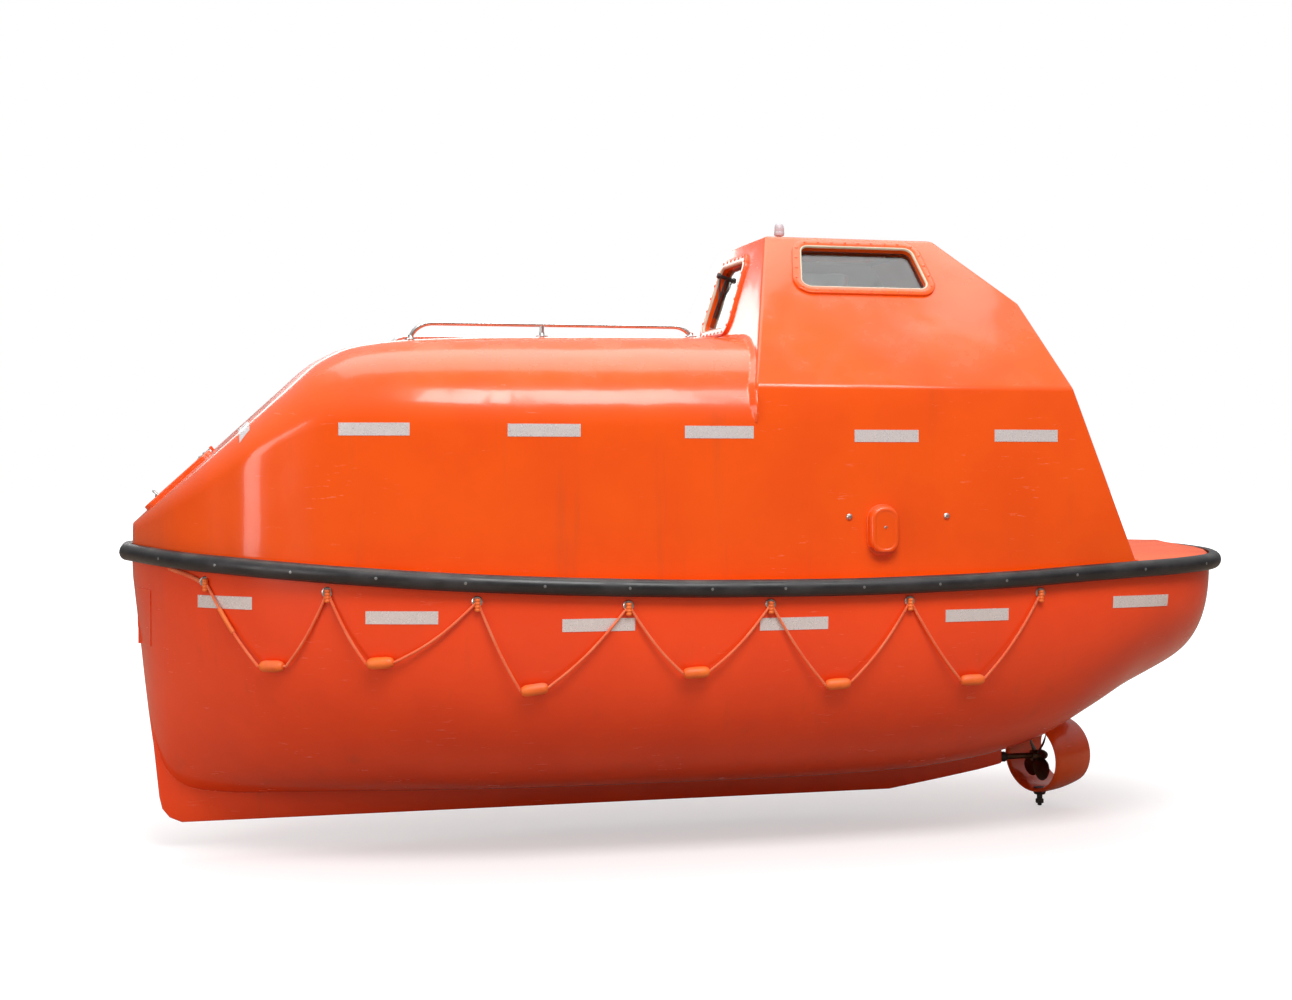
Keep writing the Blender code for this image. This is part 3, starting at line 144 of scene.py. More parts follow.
# Straight part of the canopy and the cab, seen from the side. Columns: x, height
BOX_FRONT = (-0.010, CREASE)
CAB_FRONT_TOP = (0.195, ROOF)
CAB_AFT_TOP = (0.970, ROOF)
CAB_AFT_KNUCKLE = (1.280, 2.200)
CREASE_AFT = (1.392, CREASE)
BOX_AFT_FOOT = (1.703, 1.040)
BOX_FOOT = 0.90                  # under the hull's edge, where the straight part is cut off later
RECESS_X = 1.130
RECESS_HALF = 0.360
RECESS_FLOOR = 1.080


def level(height):
    """Height above the keel sole as z above the waterline."""
    return height - DRAUGHT


# Meshes from arrays

def linked(name, data):
    """A new object in the scene."""
    thing = bpy.data.objects.new(name, data)
    bpy.context.scene.collection.objects.link(thing)
    return thing


def shaded(mesh, sharp):
    """Shade a mesh smooth up to the sharp angle."""
    mesh.shade_smooth()
    mesh.set_sharp_from_angle(angle=math.radians(sharp))


def merged(mesh, distance=1e-6):
    """Editable copy of a mesh with its doubles merged."""
    bm = bmesh.new()
    bm.from_mesh(mesh)
    bmesh.ops.remove_doubles(bm, verts=bm.verts[:], dist=distance)
    return bm


def written(bm, mesh, outward=True):
    """Put an editable copy into a mesh, its faces turned outward."""
    if outward:
        bmesh.ops.recalc_face_normals(bm, faces=bm.faces[:])
    bm.to_mesh(mesh)
    bm.free()


def rounded(bm, width, segments, angle, wanted=None):
    """Round the edges that turn by more than the angle, or those among them that wanted chooses."""
    edges = [e for e in bm.edges if len(e.link_faces) == 2 and e.calc_face_angle(0.0) > math.radians(angle)
             and (wanted is None or wanted(e))]
    bmesh.ops.bevel(bm, geom=edges, offset=width, segments=segments, profile=0.5, affect="EDGES",
                    clamp_overlap=True)


def belongs(thing, finish, body="boat", slot=True, nodes=()):
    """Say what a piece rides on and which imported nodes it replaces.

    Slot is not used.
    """
    if body:
        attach(thing, body)
    if nodes:
        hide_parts(*nodes)
    return thing


def add_mesh(name, points, faces, finish=None, sharp=32.0, outward=True, slot=None, **place):
    """A piece from an array of points and a list of faces, shaded smooth up to the sharp angle."""
    mesh = bpy.data.meshes.new(name)
    mesh.from_pydata(np.asarray(points, float).reshape(-1, 3).tolist(), [], [list(f) for f in faces])
    written(merged(mesh), mesh, outward)
    shaded(mesh, sharp)
    if finish:
        mesh.materials.append(FINISH[finish])
    return belongs(linked(name, mesh), finish, slot=slot, **place)


def grid_faces(rows, columns, wrap_rows=False, wrap_columns=False):
    """Quads between neighbouring points of a grid that is stored row by row."""
    i, j = np.meshgrid(np.arange(rows if wrap_rows else rows - 1),
                       np.arange(columns if wrap_columns else columns - 1), indexing="ij")
    k, m = (i + 1) % rows, (j + 1) % columns
    quads = np.stack([i * columns + j, i * columns + m, k * columns + m, k * columns + j], axis=-1)
    return quads.reshape(-1, 4)


def closed_loft(grid):
    """Faces of a closed solid through rings of points: quads between rings and a cap at each end."""
    rows, columns = grid.shape[:2]
    ends = [[start + k for k in range(columns)] for start in (0, (rows - 1) * columns)]
    return grid_faces(rows, columns, wrap_columns=True).tolist() + ends


def add_ring(name, grid, finish, **place):
    """A closed solid whose rings of points come back to the first ring."""
    return add_mesh(name, grid, grid_faces(*grid.shape[:2], True, True), finish, **place)


def add_many(name, grids, finish, **place):
    """One piece from several closed lofts."""
    points, faces, start = [], [], 0
    for grid in grids:
        points.append(grid.reshape(-1, 3))
        faces += [[start + k for k in face] for face in closed_loft(grid)]
        start += len(points[-1])
    return add_mesh(name, np.vstack(points), faces, finish, **place)


def applied(thing):
    """Fix a shape's cuts and joins into its mesh, and return the shapes that made them."""
    tools = [modifier.object for modifier in thing.modifiers]
    graph = bpy.context.evaluated_depsgraph_get()
    mesh = bpy.data.meshes.new_from_object(thing.evaluated_get(graph))
    thing.modifiers.clear()
    thing.data = mesh
    return tools


def combine(thing, operation, *tools):
    """Cut a shape with others, or join them to it, one after the other."""
    for tool in tools:
        modifier = thing.modifiers.new(operation.lower(), "BOOLEAN")
        modifier.object = tool
        modifier.operation = operation
        modifier.solver = "EXACT"


def shape(name, grid):
    """A solid through rings of points that only cuts or joins others."""
    return add_mesh(name, grid, closed_loft(grid), body=None)


def box_shape(name, low, high):
    """Box between two corners."""
    x, y, z = np.meshgrid(*zip(low, high), indexing="ij")
    faces = [(0, 1, 3, 2), (4, 6, 7, 5), (0, 4, 5, 1), (2, 3, 7, 6), (0, 2, 6, 4), (1, 5, 7, 3)]
    return add_mesh(name, np.stack([x, y, z], axis=-1), faces, body=None)


# Curves

def smooth_rows(table, x):
    """Columns of a station table at the places x.

    Each column runs in cubic pieces whose slope at a station is the weighted harmonic mean of the
    chords on both sides, and nought where they differ in sign, so that it never overshoots.
    """
    rows = np.array(table, float)
    knots = rows[:, 0]
    values = rows[:, 1:]
    wide = np.diff(knots)[:, None]
    chord = np.diff(values, axis=0) / wide
    before = 2.0 * wide[1:] + wide[:-1]
    after = wide[1:] + 2.0 * wide[:-1]
    with np.errstate(divide="ignore", invalid="ignore"):
        mean = (before + after) / (before / chord[:-1] + after / chord[1:])
    inner = np.where(chord[:-1] * chord[1:] > 0.0, mean, 0.0)
    slope = np.vstack([chord[:1], inner, chord[-1:]])
    x = np.asarray(x, float)
    i = np.clip(np.searchsorted(knots, x) - 1, 0, len(knots) - 2)
    h = wide[i]
    t = ((x - knots[i])[:, None]) / h
    return ((2 * t ** 3 - 3 * t ** 2 + 1) * values[i] + (t ** 3 - 2 * t ** 2 + t) * h * slope[i]
            + (3 * t ** 2 - 2 * t ** 3) * values[i + 1] + (t ** 3 - t ** 2) * h * slope[i + 1])


def end_heavy(start, stop, count, even=0.3):
    """Places between start and stop, closer together towards both ends."""
    u = np.linspace(0.0, 1.0, count)
    bent = 0.5 - 0.5 * np.cos(math.pi * u)
    return start + (stop - start) * (even * u + (1.0 - even) * bent)


def unit(vectors):
    """Vectors at length one."""
    return vectors / np.maximum(np.linalg.norm(vectors, axis=-1, keepdims=True), 1e-12)


def tangents(path, closed=False):
    """Directions along a path from the points on both sides."""
    if closed:
        return unit(np.roll(path, -1, axis=0) - np.roll(path, 1, axis=0))
    return unit(np.gradient(path, axis=0))


def swept(path, profile, reference):
    """A profile carried along a path.

    Its first column runs along the cross product of the path's direction and the reference, and its
    second along the cross product of that with the direction.
    """
    along = tangents(path)
    side = unit(np.cross(along, reference))
    up = np.cross(side, along)
    return path[:, None, :] + (profile[:, :1] * side[:, None, :] + profile[:, 1:] * up[:, None, :])


def circle(radius, count):
    """Points of a circle, as columns."""
    angle = np.linspace(0.0, 2.0 * math.pi, count, endpoint=False)
    return np.stack([radius * np.cos(angle), radius * np.sin(angle)], axis=1)


def curve_through(points, spacing, closed=False):
    """Even points, the spacing apart, on the Catmull-Rom curve through a few points."""
    p = np.asarray(points, float)
    if closed:
        p = np.vstack([p[-1:], p, p[:2]])
    else:
        p = np.vstack([2 * p[0] - p[1], p, 2 * p[-1] - p[-2]])
    t = np.linspace(0.0, 1.0, 24, endpoint=False)[None, :, None]
    a, b, c, d = (p[k:len(p) - 3 + k, None, :] for k in range(4))
    curve = 0.5 * (2 * b + (c - a) * t + (2 * a - 5 * b + 4 * c - d) * t ** 2
                   + (3 * b - a - 3 * c + d) * t ** 3)
    fine = curve.reshape(-1, p.shape[1])
    fine = np.vstack([fine, p[-2:-1]])
    return evenly(fine, spacing, closed)


def evenly(path, spacing, closed=False):
    """A path read again at an even spacing."""
    steps = np.linalg.norm(np.diff(path, axis=0), axis=1)
    run = np.concatenate([[0.0], np.cumsum(steps)])
    count = max(2, int(round(run[-1] / spacing)) + 1)
    places = np.linspace(0.0, run[-1], count)
    result = np.stack([np.interp(places, run, path[:, k]) for k in range(path.shape[1])], axis=1)
    return result[:-1] if closed else result


def rounded_corners(corners, radius, steps):
    """An outline whose corners are arcs. The corners run anticlockwise."""
    here = np.asarray(corners, float)
    back = unit(np.roll(here, 1, axis=0) - here)
    ahead = unit(np.roll(here, -1, axis=0) - here)
    half = 0.5 * np.arccos(np.clip((back * ahead).sum(axis=1), -1.0, 1.0))
    centre = here + unit(back + ahead) * (radius / np.sin(half))[:, None]
    start = here + back * (radius / np.tan(half))[:, None] - centre
    turn = (math.pi - 2.0 * half)[:, None] * np.linspace(0.0, 1.0, steps + 1)[None, :]
    x = start[:, :1] * np.cos(turn) - start[:, 1:] * np.sin(turn)
    y = start[:, :1] * np.sin(turn) + start[:, 1:] * np.cos(turn)
    return (centre[:, None, :] + np.stack([x, y], axis=-1)).reshape(-1, 2)


def offset_outline(outline, distance):
    """A closed outline moved outward by a distance, or inward where it is negative."""
    along = unit(np.roll(outline, -1, axis=0) - np.roll(outline, 1, axis=0))
    return outline + distance * np.stack([along[:, 1], -along[:, 0]], axis=1)


class Wall:
    """A flat place on the boat: X runs across it, Y up it and Z out of it."""

    def __init__(self, origin, across, outward):
        self.origin = np.asarray(origin, float)
        self.out = unit(np.asarray(outward, float))
        self.across = unit(np.asarray(across, float))
        self.up = np.cross(self.out, self.across)

    def at(self, u, v, w):
        """Points from places across, up and out."""
        u, v, w = np.broadcast_arrays(np.asarray(u, float), v, w)
        return (self.origin + u[..., None] * self.across + v[..., None] * self.up
                + w[..., None] * self.out)


def layered(wall, outline, layers):
    """Rings of an outline on a wall, one for each layer of (distance outward, height)."""
    rings = []
    for grow, w in layers:
        edge = offset_outline(outline, grow) if grow else outline
        rings.append(wall.at(edge[:, 0], edge[:, 1], w))
    return np.stack(rings)


def soft_layers(low, high, edge, steps=4):
    """Layers of a plate whose upper edge is rounded by a quarter circle."""
    angle = np.linspace(0.0, 0.5 * math.pi, steps + 1)
    top = np.stack([edge * (np.cos(angle) - 1.0), high - edge + edge * np.sin(angle)], axis=1)
    return np.vstack([[0.0, low], top])


def turned(profile, base, axis, count=32):
    """A profile of (distance along the axis, radius) turned about an axis through the base."""
    profile = np.asarray(profile, float)
    axis = unit(np.asarray(axis, float))
    side = unit(np.cross(axis, UP if abs(axis[2]) < 0.9 else AFT))
    other = np.cross(axis, side)
    ring = circle(1.0, count)
    spokes = ring[:, :1] * side + ring[:, 1:] * other
    return np.asarray(base, float) + profile[:, None, :1] * axis + profile[:, None, 1:] * spokes[None]


# Shader building

class Nodes:
    """Adds nodes to one tree, sets their values and links sockets that are passed as values."""

    def __init__(self, tree):
        self.tree = tree

    def fill(self, node, values):
        """Give a node its inputs, by name or by number: values, or sockets to link."""
        for key, value in values.items():
            socket = node.inputs[key]
            if isinstance(value, bpy.types.NodeSocket):
                self.tree.links.new(value, socket)
            else:
                socket.default_value = value
        return node

    def add(self, kind, values=None, **settings):
        """A node with its settings and its inputs."""
        node = self.tree.nodes.new("ShaderNode" + kind)
        for key, value in settings.items():
            setattr(node, key, value)
        return self.fill(node, values or {})

    def math(self, operation, *values, clamp=False):
        """One sum on two or three values."""
        return self.add("Math", dict(enumerate(values)), operation=operation, use_clamp=clamp).outputs[0]

    def times(self, first, second):
        """Product of two values."""
        return self.math("MULTIPLY", first, second)

    def total(self, *products):
        """Sum of products of two values each."""
        result = self.times(*products[0])
        for product in products[1:]:
            result = self.math("ADD", result, self.times(*product))
        return result

    def noise(self, where, scale, detail=4.0, rough=0.55, stretch=None):
        """Noise between 0 and 1, stretched along the axes where asked."""
        if stretch:
            where = self.add("VectorMath", {0: where, 1: stretch}, operation="MULTIPLY").outputs[0]
        values = {"Vector": where, "Scale": scale, "Detail": detail, "Roughness": rough}
        return self.add("TexNoise", values).outputs["Fac"]

    def remap(self, value, low, high, to_low=0.0, to_high=1.0):
        """A value's range carried to another range, with soft ends."""
        values = {"Value": value, "From Min": low, "From Max": high, "To Min": to_low, "To Max": to_high}
        return self.add("MapRange", values, interpolation_type="SMOOTHSTEP").outputs["Result"]

    def mix(self, share, first, second):
        """One colour over another by a share. Each is a socket, or red, green and blue."""
        first, second = (colour if isinstance(colour, bpy.types.NodeSocket) else (*colour, 1.0)
                         for colour in (first, second))
        return self.add("Mix", {0: share, 6: first, 7: second}, data_type="RGBA").outputs[2]

    def lay(self, tint, *rows):
        """Colours laid over a tint, each by its mask times its share."""
        for mask, share, colour in rows:
            tint = self.mix(self.times(mask, share), tint, colour)
        return tint

    def group(self, tree, **values):
        """Outputs of a shared group."""
        return self.add("Group", values, node_tree=tree).outputs

    def bump(self, height):
        """Normal of a relief from its height in metres."""
        values = {"Height": height, "Distance": 1.0, "Strength": 1.0}
        return self.add("Bump", values).outputs["Normal"]


def new_group(name, outputs, *inputs):
    """An empty shared group that takes a position and values and gives masks, with its end nodes."""
    tree = bpy.data.node_groups.new(name, "ShaderNodeTree")
    tree.interface.new_socket("Position", in_out="INPUT", socket_type="NodeSocketVector")
    for way, titles in (("INPUT", inputs), ("OUTPUT", outputs)):
        for title in titles:
            tree.interface.new_socket(title, in_out=way, socket_type="NodeSocketFloat")
    return tree, Nodes(tree), tree.nodes.new("NodeGroupInput").outputs, tree.nodes.new("NodeGroupOutput")


def wave_group():
    """Height of a hand-laid moulding: slow waves over metres and a faint orange peel."""
    tree, nodes, given, end = new_group("moulding_wave", ["Height"])
    waves = [(nodes.noise(given["Position"], scale, detail), height)
             for scale, detail, height in ((1.7, 2.0, 0.0085), (7.0, 2.0, 0.0009), (190.0, 1.0, 0.000012))]
    nodes.fill(end, {"Height": nodes.total(*waves)})
    return tree


def weather_group():
    """Masks of a used outer surface: dust that settles on top, run marks, scuffs and drifting tint."""
    tree, nodes, given, end = new_group("weathering", ["Dust", "Runs", "Scuffs", "Mottle"])
    where = given["Position"]
    upward = nodes.add("SeparateXYZ", {0: nodes.add("NewGeometry").outputs["Normal"]}).outputs["Z"]
    cloud = nodes.remap(nodes.noise(where, 4.5, 6.0, 0.62), 0.42, 0.72)
    streak = nodes.remap(nodes.noise(where, 9.0, 5.0, 0.6, (1.0, 1.0, 0.10)), 0.56, 0.80)
    lines = nodes.remap(nodes.noise(where, 42.0, 4.0, 0.7, (0.22, 0.22, 1.6)), 0.63, 0.70)
    patch = nodes.remap(nodes.noise(where, 2.6, 3.0), 0.50, 0.68)
    nodes.fill(end, {"Dust": nodes.times(nodes.remap(upward, 0.25, 0.95), cloud),
                     "Runs": nodes.times(streak, nodes.remap(upward, 0.6, 0.1)),
                     "Scuffs": nodes.times(lines, patch),
                     "Mottle": nodes.noise(where, 3.2, 3.0, 0.5)})
    return tree


def edge_group():
    """Mask of worn edges: where a slightly rounded normal differs from the true one, broken by noise."""
    tree, nodes, given, end = new_group("edge_wear", ["Edge"], "Width")
    soft = nodes.add("Bevel", {"Radius": given["Width"]}, samples=4).outputs[0]
    true = nodes.add("NewGeometry").outputs["Normal"]
    same = nodes.add("VectorMath", {0: soft, 1: true}, operation="DOT_PRODUCT").outputs["Value"]
    broken = nodes.remap(nodes.noise(given["Position"], 38.0, 5.0, 0.65), 0.40, 0.62)
    nodes.fill(end, {"Edge": nodes.times(nodes.remap(same, 0.99, 0.86), broken)})
    return tree


WAVE = wave_group()
WEATHER = weather_group()
EDGE = edge_group()


def new_material(name):
    """An empty material with its nodes, its shader and the position on the piece."""
    material = bpy.data.materials.new(name)
    material.use_nodes = True
    material.node_tree.nodes.clear()
    nodes = Nodes(material.node_tree)
    shader = nodes.add("BsdfPrincipled")
    nodes.add("OutputMaterial", {"Surface": shader.outputs[0]})
    return material, nodes, shader, nodes.add("TexCoord").outputs["Object"]


def gelcoat(name, colour, shade, rough=0.22, coat=0.30):
    """Glossy moulded gelcoat: tint that drifts, dust on top, run marks and dull scuffs."""
    material, nodes, shader, where = new_material(name)
    marks = nodes.group(WEATHER, Position=where)
    edge = nodes.group(EDGE, Position=where, Width=0.006)["Edge"]
    tint = nodes.mix(nodes.remap(marks["Mottle"], 0.30, 0.72), colour, shade)
    final = nodes.lay(tint, (marks["Dust"], 0.05, (0.72, 0.58, 0.50)),
                      (marks["Runs"], 0.16, (0.22, 0.07, 0.03)),
                      (marks["Scuffs"], 0.22, (0.80, 0.42, 0.30)), (edge, 0.30, (0.86, 0.46, 0.30)))
    dusty = nodes.math("MULTIPLY_ADD", marks["Dust"], 0.16, rough)
    dull = nodes.math("ADD", dusty, nodes.times(marks["Scuffs"], 0.30), clamp=True)
    normal = nodes.bump(nodes.group(WAVE, Position=where)["Height"])
    nodes.fill(shader, {"Base Color": final, "Roughness": dull, "Coat Weight": coat, "Coat Roughness": 0.07,
                        "Specular IOR Level": 0.36, "Normal": normal, "Coat Normal": normal})
    return material


def rubber(name):
    """Black fender rubber: bloom, scuffs and a fine moulded grain."""
    material, nodes, shader, where = new_material(name)
    marks = nodes.group(WEATHER, Position=where)
    edge = nodes.group(EDGE, Position=where, Width=0.004)["Edge"]
    bloom = nodes.remap(nodes.noise(where, 6.0, 6.0, 0.65), 0.38, 0.75)
    tint = nodes.mix(bloom, (0.010, 0.009, 0.011), (0.028, 0.026, 0.028))
    worn = nodes.lay(tint, (marks["Dust"], 0.35, (0.16, 0.145, 0.13)),
                     (marks["Scuffs"], 0.5, (0.14, 0.13, 0.125)), (edge, 0.4, (0.15, 0.14, 0.135)))
    grain = nodes.total((nodes.noise(where, 420.0, 3.0), 0.00012), (nodes.noise(where, 30.0, 3.0), 0.0008))
    nodes.fill(shader, {"Base Color": worn, "Roughness": nodes.remap(bloom, 0.0, 1.0, 0.34, 0.55),
                        "Normal": nodes.bump(grain)})
    return material


def tinted_glass(name):
    """Tinted acrylic pane: clear, with a faint film of salt that dulls it in streaks."""
    material, nodes, shader, where = new_material(name)
    film = nodes.remap(nodes.noise(where, 16.0, 5.0, 0.6, (1.0, 1.0, 0.18)), 0.40, 0.80)
    nodes.fill(shader, {"Base Color": (0.50, 0.52, 0.52, 1.0), "IOR": 1.49, "Transmission Weight": 1.0,
                        "Roughness": nodes.remap(film, 0.0, 1.0, 0.02, 0.14),
                        "Normal": nodes.bump(nodes.times(nodes.noise(where, 5.0, 2.0), 0.0016))})
    return material


def metal(name, colour, dark, rough, brushed=False, rust=0.0, metallic=1.0, pits=0.0002):
    """Metal or painted metal: cloudy tone, brushed or cast surface, worn edges and rust where asked."""
    material, nodes, shader, where = new_material(name)
    cloud = nodes.remap(nodes.noise(where, 14.0, 6.0, 0.6), 0.35, 0.75)
    edge = nodes.group(EDGE, Position=where, Width=0.0025)["Edge"]
    worn = nodes.lay(nodes.mix(cloud, colour, dark), (edge, 0.45, (0.55, 0.54, 0.52)))
    rusty = nodes.times(nodes.remap(nodes.noise(where, 32.0, 8.0, 0.7), 0.60, 0.72), rust)
    brush = nodes.noise(where, 240.0, 3.0, 0.5, (1.0, 1.0, 0.05) if brushed else None)
    uneven = nodes.math("ADD", nodes.total((brush, 0.16), (cloud, 0.14)), rough - 0.12)
    relief = brush if brushed else nodes.noise(where, 150.0, 4.0)
    nodes.fill(shader, {"Base Color": nodes.mix(rusty, worn, (0.16, 0.045, 0.014)), "Metallic": metallic,
                        "Roughness": nodes.math("ADD", uneven, nodes.times(rusty, 0.4), clamp=True),
                        "Normal": nodes.bump(nodes.times(relief, pits))})
    return material


def tape(name):
    """Retroreflective tape: silver film printed with small cells, scuffed and slightly wrinkled."""
    material, nodes, shader, where = new_material(name)
    cells = nodes.add("TexVoronoi", {"Vector": where, "Scale": 260.0}, feature="DISTANCE_TO_EDGE")
    wall = nodes.remap(cells.outputs["Distance"], 0.02, 0.10)
    dirt = nodes.remap(nodes.noise(where, 16.0, 6.0, 0.65), 0.40, 0.78)
    film = nodes.mix(wall, (0.60, 0.56, 0.575), (0.80, 0.75, 0.75))
    wrinkle = nodes.total((nodes.noise(where, 26.0, 3.0), 0.0009), (wall, 0.00008))
    nodes.fill(shader, {"Base Color": nodes.lay(film, (dirt, 0.18, (0.40, 0.36, 0.33))), "Metallic": 0.35,
                        "Roughness": nodes.remap(dirt, 0.0, 1.0, 0.26, 0.46), "Coat Weight": 0.4,
                        "Coat Roughness": 0.12, "Normal": nodes.bump(wrinkle)})
    return material


def plastic(name, colour, shade, rough=0.38, grain=0.00012, sheen=0.0):
    """Moulded plastic, liner or sealant: slight drift of tint, grain, grime and worn edges."""
    material, nodes, shader, where = new_material(name)
    marks = nodes.group(WEATHER, Position=where)
    edge = nodes.group(EDGE, Position=where, Width=0.003)["Edge"]
    tint = nodes.mix(nodes.remap(nodes.noise(where, 9.0, 5.0, 0.6), 0.35, 0.70), colour, shade)
    grey = [0.6 * part + 0.3 for part in colour]
    dull = nodes.remap(nodes.noise(where, 60.0, 3.0), 0.2, 0.8, rough - 0.06, rough + 0.08)
    worn = nodes.lay(tint, (marks["Dust"], 0.25, (0.42, 0.38, 0.34)), (edge, 0.35, grey))
    nodes.fill(shader, {"Base Color": worn, "Roughness": dull, "Sheen Weight": sheen,
                        "Normal": nodes.bump(nodes.times(nodes.noise(where, 480.0, 2.0), grain))})
    return material


def cordage(name, colour, shade):
    """Laid rope: fibres that catch light, a faded tint that drifts and dark flecks among the fibres."""
    material, nodes, shader, where = new_material(name)
    fibre = nodes.noise(where, 700.0, 3.0, 0.6)
    faded = nodes.mix(nodes.remap(nodes.noise(where, 11.0, 5.0, 0.6), 0.35, 0.70), colour, shade)
    dirty = nodes.mix(nodes.remap(fibre, 0.35, 0.65, 0.0, 0.35), faded, (0.40, 0.045, 0.012))
    nodes.fill(shader, {"Base Color": dirty, "Roughness": 0.72, "Sheen Weight": 0.10,
                        "Normal": nodes.bump(nodes.times(fibre, 0.0006))})
    return material


def seamless_floor(name):
    """Pale seamless floor with a painted glow for the camera that grows with distance, so it whitens far off
    and stays darker near the boat. Seen in the gelcoat and in bounced light, it is a much darker brown:
    painted shade.
    """
    material, nodes, shader, where = new_material(name)
    seen = nodes.add("LightPath").outputs["Is Camera Ray"]
    pale = nodes.mix(nodes.noise(where, 0.5, 4.0), (0.52, 0.52, 0.525), (0.56, 0.56, 0.56))
    distance = nodes.add("VectorMath", {0: where}, operation="LENGTH").outputs["Value"]
    # Painted light: for the camera the floor glows white, less near the boat; other rays see a darker brown,
    # a painted shade
    nodes.fill(shader, {"Base Color": nodes.mix(seen, (0.34, 0.26, 0.20), pale), "Roughness": 0.62,
                        "Emission Color": (1.0, 1.0, 1.0, 1.0), "Specular IOR Level": 0.25,
                        "Emission Strength": nodes.times(nodes.remap(distance, 2.5, 9.0, 0.50, 1.0), seen),
                        "Normal": nodes.bump(nodes.times(nodes.noise(where, 90.0, 3.0), 0.0004))})
    return material


# Name, way of making it, then its colours and values
FINISH = {name: make(name, *values) for name, make, *values in (
    ("hull_gelcoat", gelcoat, (0.86, 0.064, 0.008), (0.80, 0.056, 0.008), 0.26, 0.18),
    ("canopy_gelcoat", gelcoat, (0.82, 0.088, 0.003), (0.77, 0.076, 0.003)),
    ("deck_gelcoat", gelcoat, (0.80, 0.095, 0.008), (0.74, 0.080, 0.008), 0.34, 0.2),
    ("black_rubber", rubber),
    ("tinted_glass", tinted_glass),
    ("stainless_steel", metal, (0.60, 0.58, 0.57), (0.48, 0.46, 0.45), 0.26, True),
    ("painted_hook", metal, (0.32, 0.33, 0.34), (0.22, 0.23, 0.24), 0.42, False, 0.35),
    ("dark_iron", metal, (0.060, 0.058, 0.056), (0.028, 0.027, 0.026), 0.46, False, 0.30, 0.7, 0.0006),
    ("dark_bronze", metal, (0.105, 0.066, 0.038), (0.045, 0.034, 0.026), 0.40, False, 0.10, 0.9, 0.0004),
    ("white_liner", plastic, (0.62, 0.61, 0.58), (0.52, 0.51, 0.48), 0.40),
    ("grey_seat", plastic, (0.075, 0.078, 0.082), (0.050, 0.052, 0.055), 0.55, 0.0003, 0.2),
    ("orange_rope", cordage, (0.95, 0.15, 0.045), (0.92, 0.24, 0.10)),
    ("lamp_housing", plastic, (0.46, 0.44, 0.47), (0.38, 0.37, 0.40), 0.32),
    ("reflective_tape", tape),
    ("window_seal", plastic, (0.66, 0.58, 0.44), (0.55, 0.47, 0.34), 0.50),
    ("float_foam", plastic, (0.86, 0.17, 0.02), (0.76, 0.12, 0.015), 0.48, 0.0004),
    ("studio_floor", seamless_floor),
)}


# Hull

def both_sides(x, y, z):
    """Closed rings from half sections: the port half, and the same mirrored and run back."""
    port = np.stack([np.broadcast_to(x[:, None], y.shape), -y, level(z)], axis=-1)
    return np.concatenate([port, port[:, -2::-1] * (1.0, -1.0, 1.0)], axis=1)


def hull_sections(x, steps):
    """Half sections from the sheer to the centreline.

    A point turns by an angle a from the sheer: y is the half-breadth times cos(a) to the power
    2/fullness, and the drop below the sheer is the depth times sin(a) to the same power. The angles
    are spread so that neighbouring points lie about as far apart along the section.
    """
    half, bottom, top, full = smooth_rows(HULL_STATIONS, x).T[:, :, None]
    fine = np.linspace(0.0, 0.5 * math.pi, 400)[None, :]
    y = half * np.cos(fine).clip(0.0) ** (2.0 / full)
    z = top - (top - bottom) * np.sin(fine) ** (2.0 / full)
    steps_along = np.hypot(np.diff(y, axis=1), np.diff(z, axis=1))
    run = np.concatenate([np.zeros((len(x), 1)), np.cumsum(steps_along, axis=1)], axis=1)
    run /= run[:, -1:]
    spread = end_heavy(0.0, 1.0, steps, 0.6)
    place = np.stack([np.interp(spread, run[k], fine[0]) for k in range(len(x))])
    y = half * np.cos(place).clip(0.0) ** (2.0 / full)
    z = top - (top - bottom) * np.sin(place) ** (2.0 / full)
    y[:, -1] = 0.0
    return y, z


def hull_half(x, height):
    """Half-breadth of the smooth hull at places and heights above the keel sole."""
    x, height = np.broadcast_arrays(np.asarray(x, float), height)
    half, bottom, top, full = smooth_rows(HULL_STATIONS, x.ravel()).T
    drop = np.clip((top - height.ravel()) / (top - bottom), 0.0, 1.0)
    return (half * (1.0 - drop ** full) ** (1.0 / full)).reshape(x.shape)


def prism(outline, low, high, axis):
    """Rings of an outline carried straight from low to high along one axis (0 to 2)."""
    return np.stack([np.insert(np.asarray(outline, float), axis, value, axis=1) for value in (low, high)])


def make_hull():
    """Hull moulding with its keel and stem bar, and the well with its benches inside."""
    x = end_heavy(*HULL_ENDS, 150, 0.45)
    hull = shape("hull_moulding", both_sides(x, *hull_sections(x, 34)))
    keel = shape("keel_shape", prism([(x, level(z)) for x, z in KEEL_OUTLINE], -KEEL_HALF, KEEL_HALF, 1))
    soften(keel, 0.010, 3)
    bench, above = level(BENCH_TOP), level(1.40)
    well = np.array([[(x, -half, bench), (x, half, bench), (x, half, above), (x, -half, above)]
                     for x, half in WELL_STATIONS])
    start, end, half, floor = FOOT_WELL
    high = (end, half, level(BENCH_TOP + 0.05))
    foot_well = box_shape("foot_well_shape", (start, -half, level(floor)), high)
    combine(hull, "UNION", keel)
    combine(hull, "DIFFERENCE", shape("well_shape", well), foot_well)
    finish_piece(hull, "hull_gelcoat", 28.0)
    line_inside(hull)
    belongs(hull, "hull_gelcoat", nodes=["hull"])


def soften(thing, width, segments, wanted=None, angle=30.0):
    """Round the edges of a shape that turn by more than the angle, or those that wanted chooses."""
    bm = merged(thing.data)
    rounded(bm, width, segments, angle, wanted)
    written(bm, thing.data)


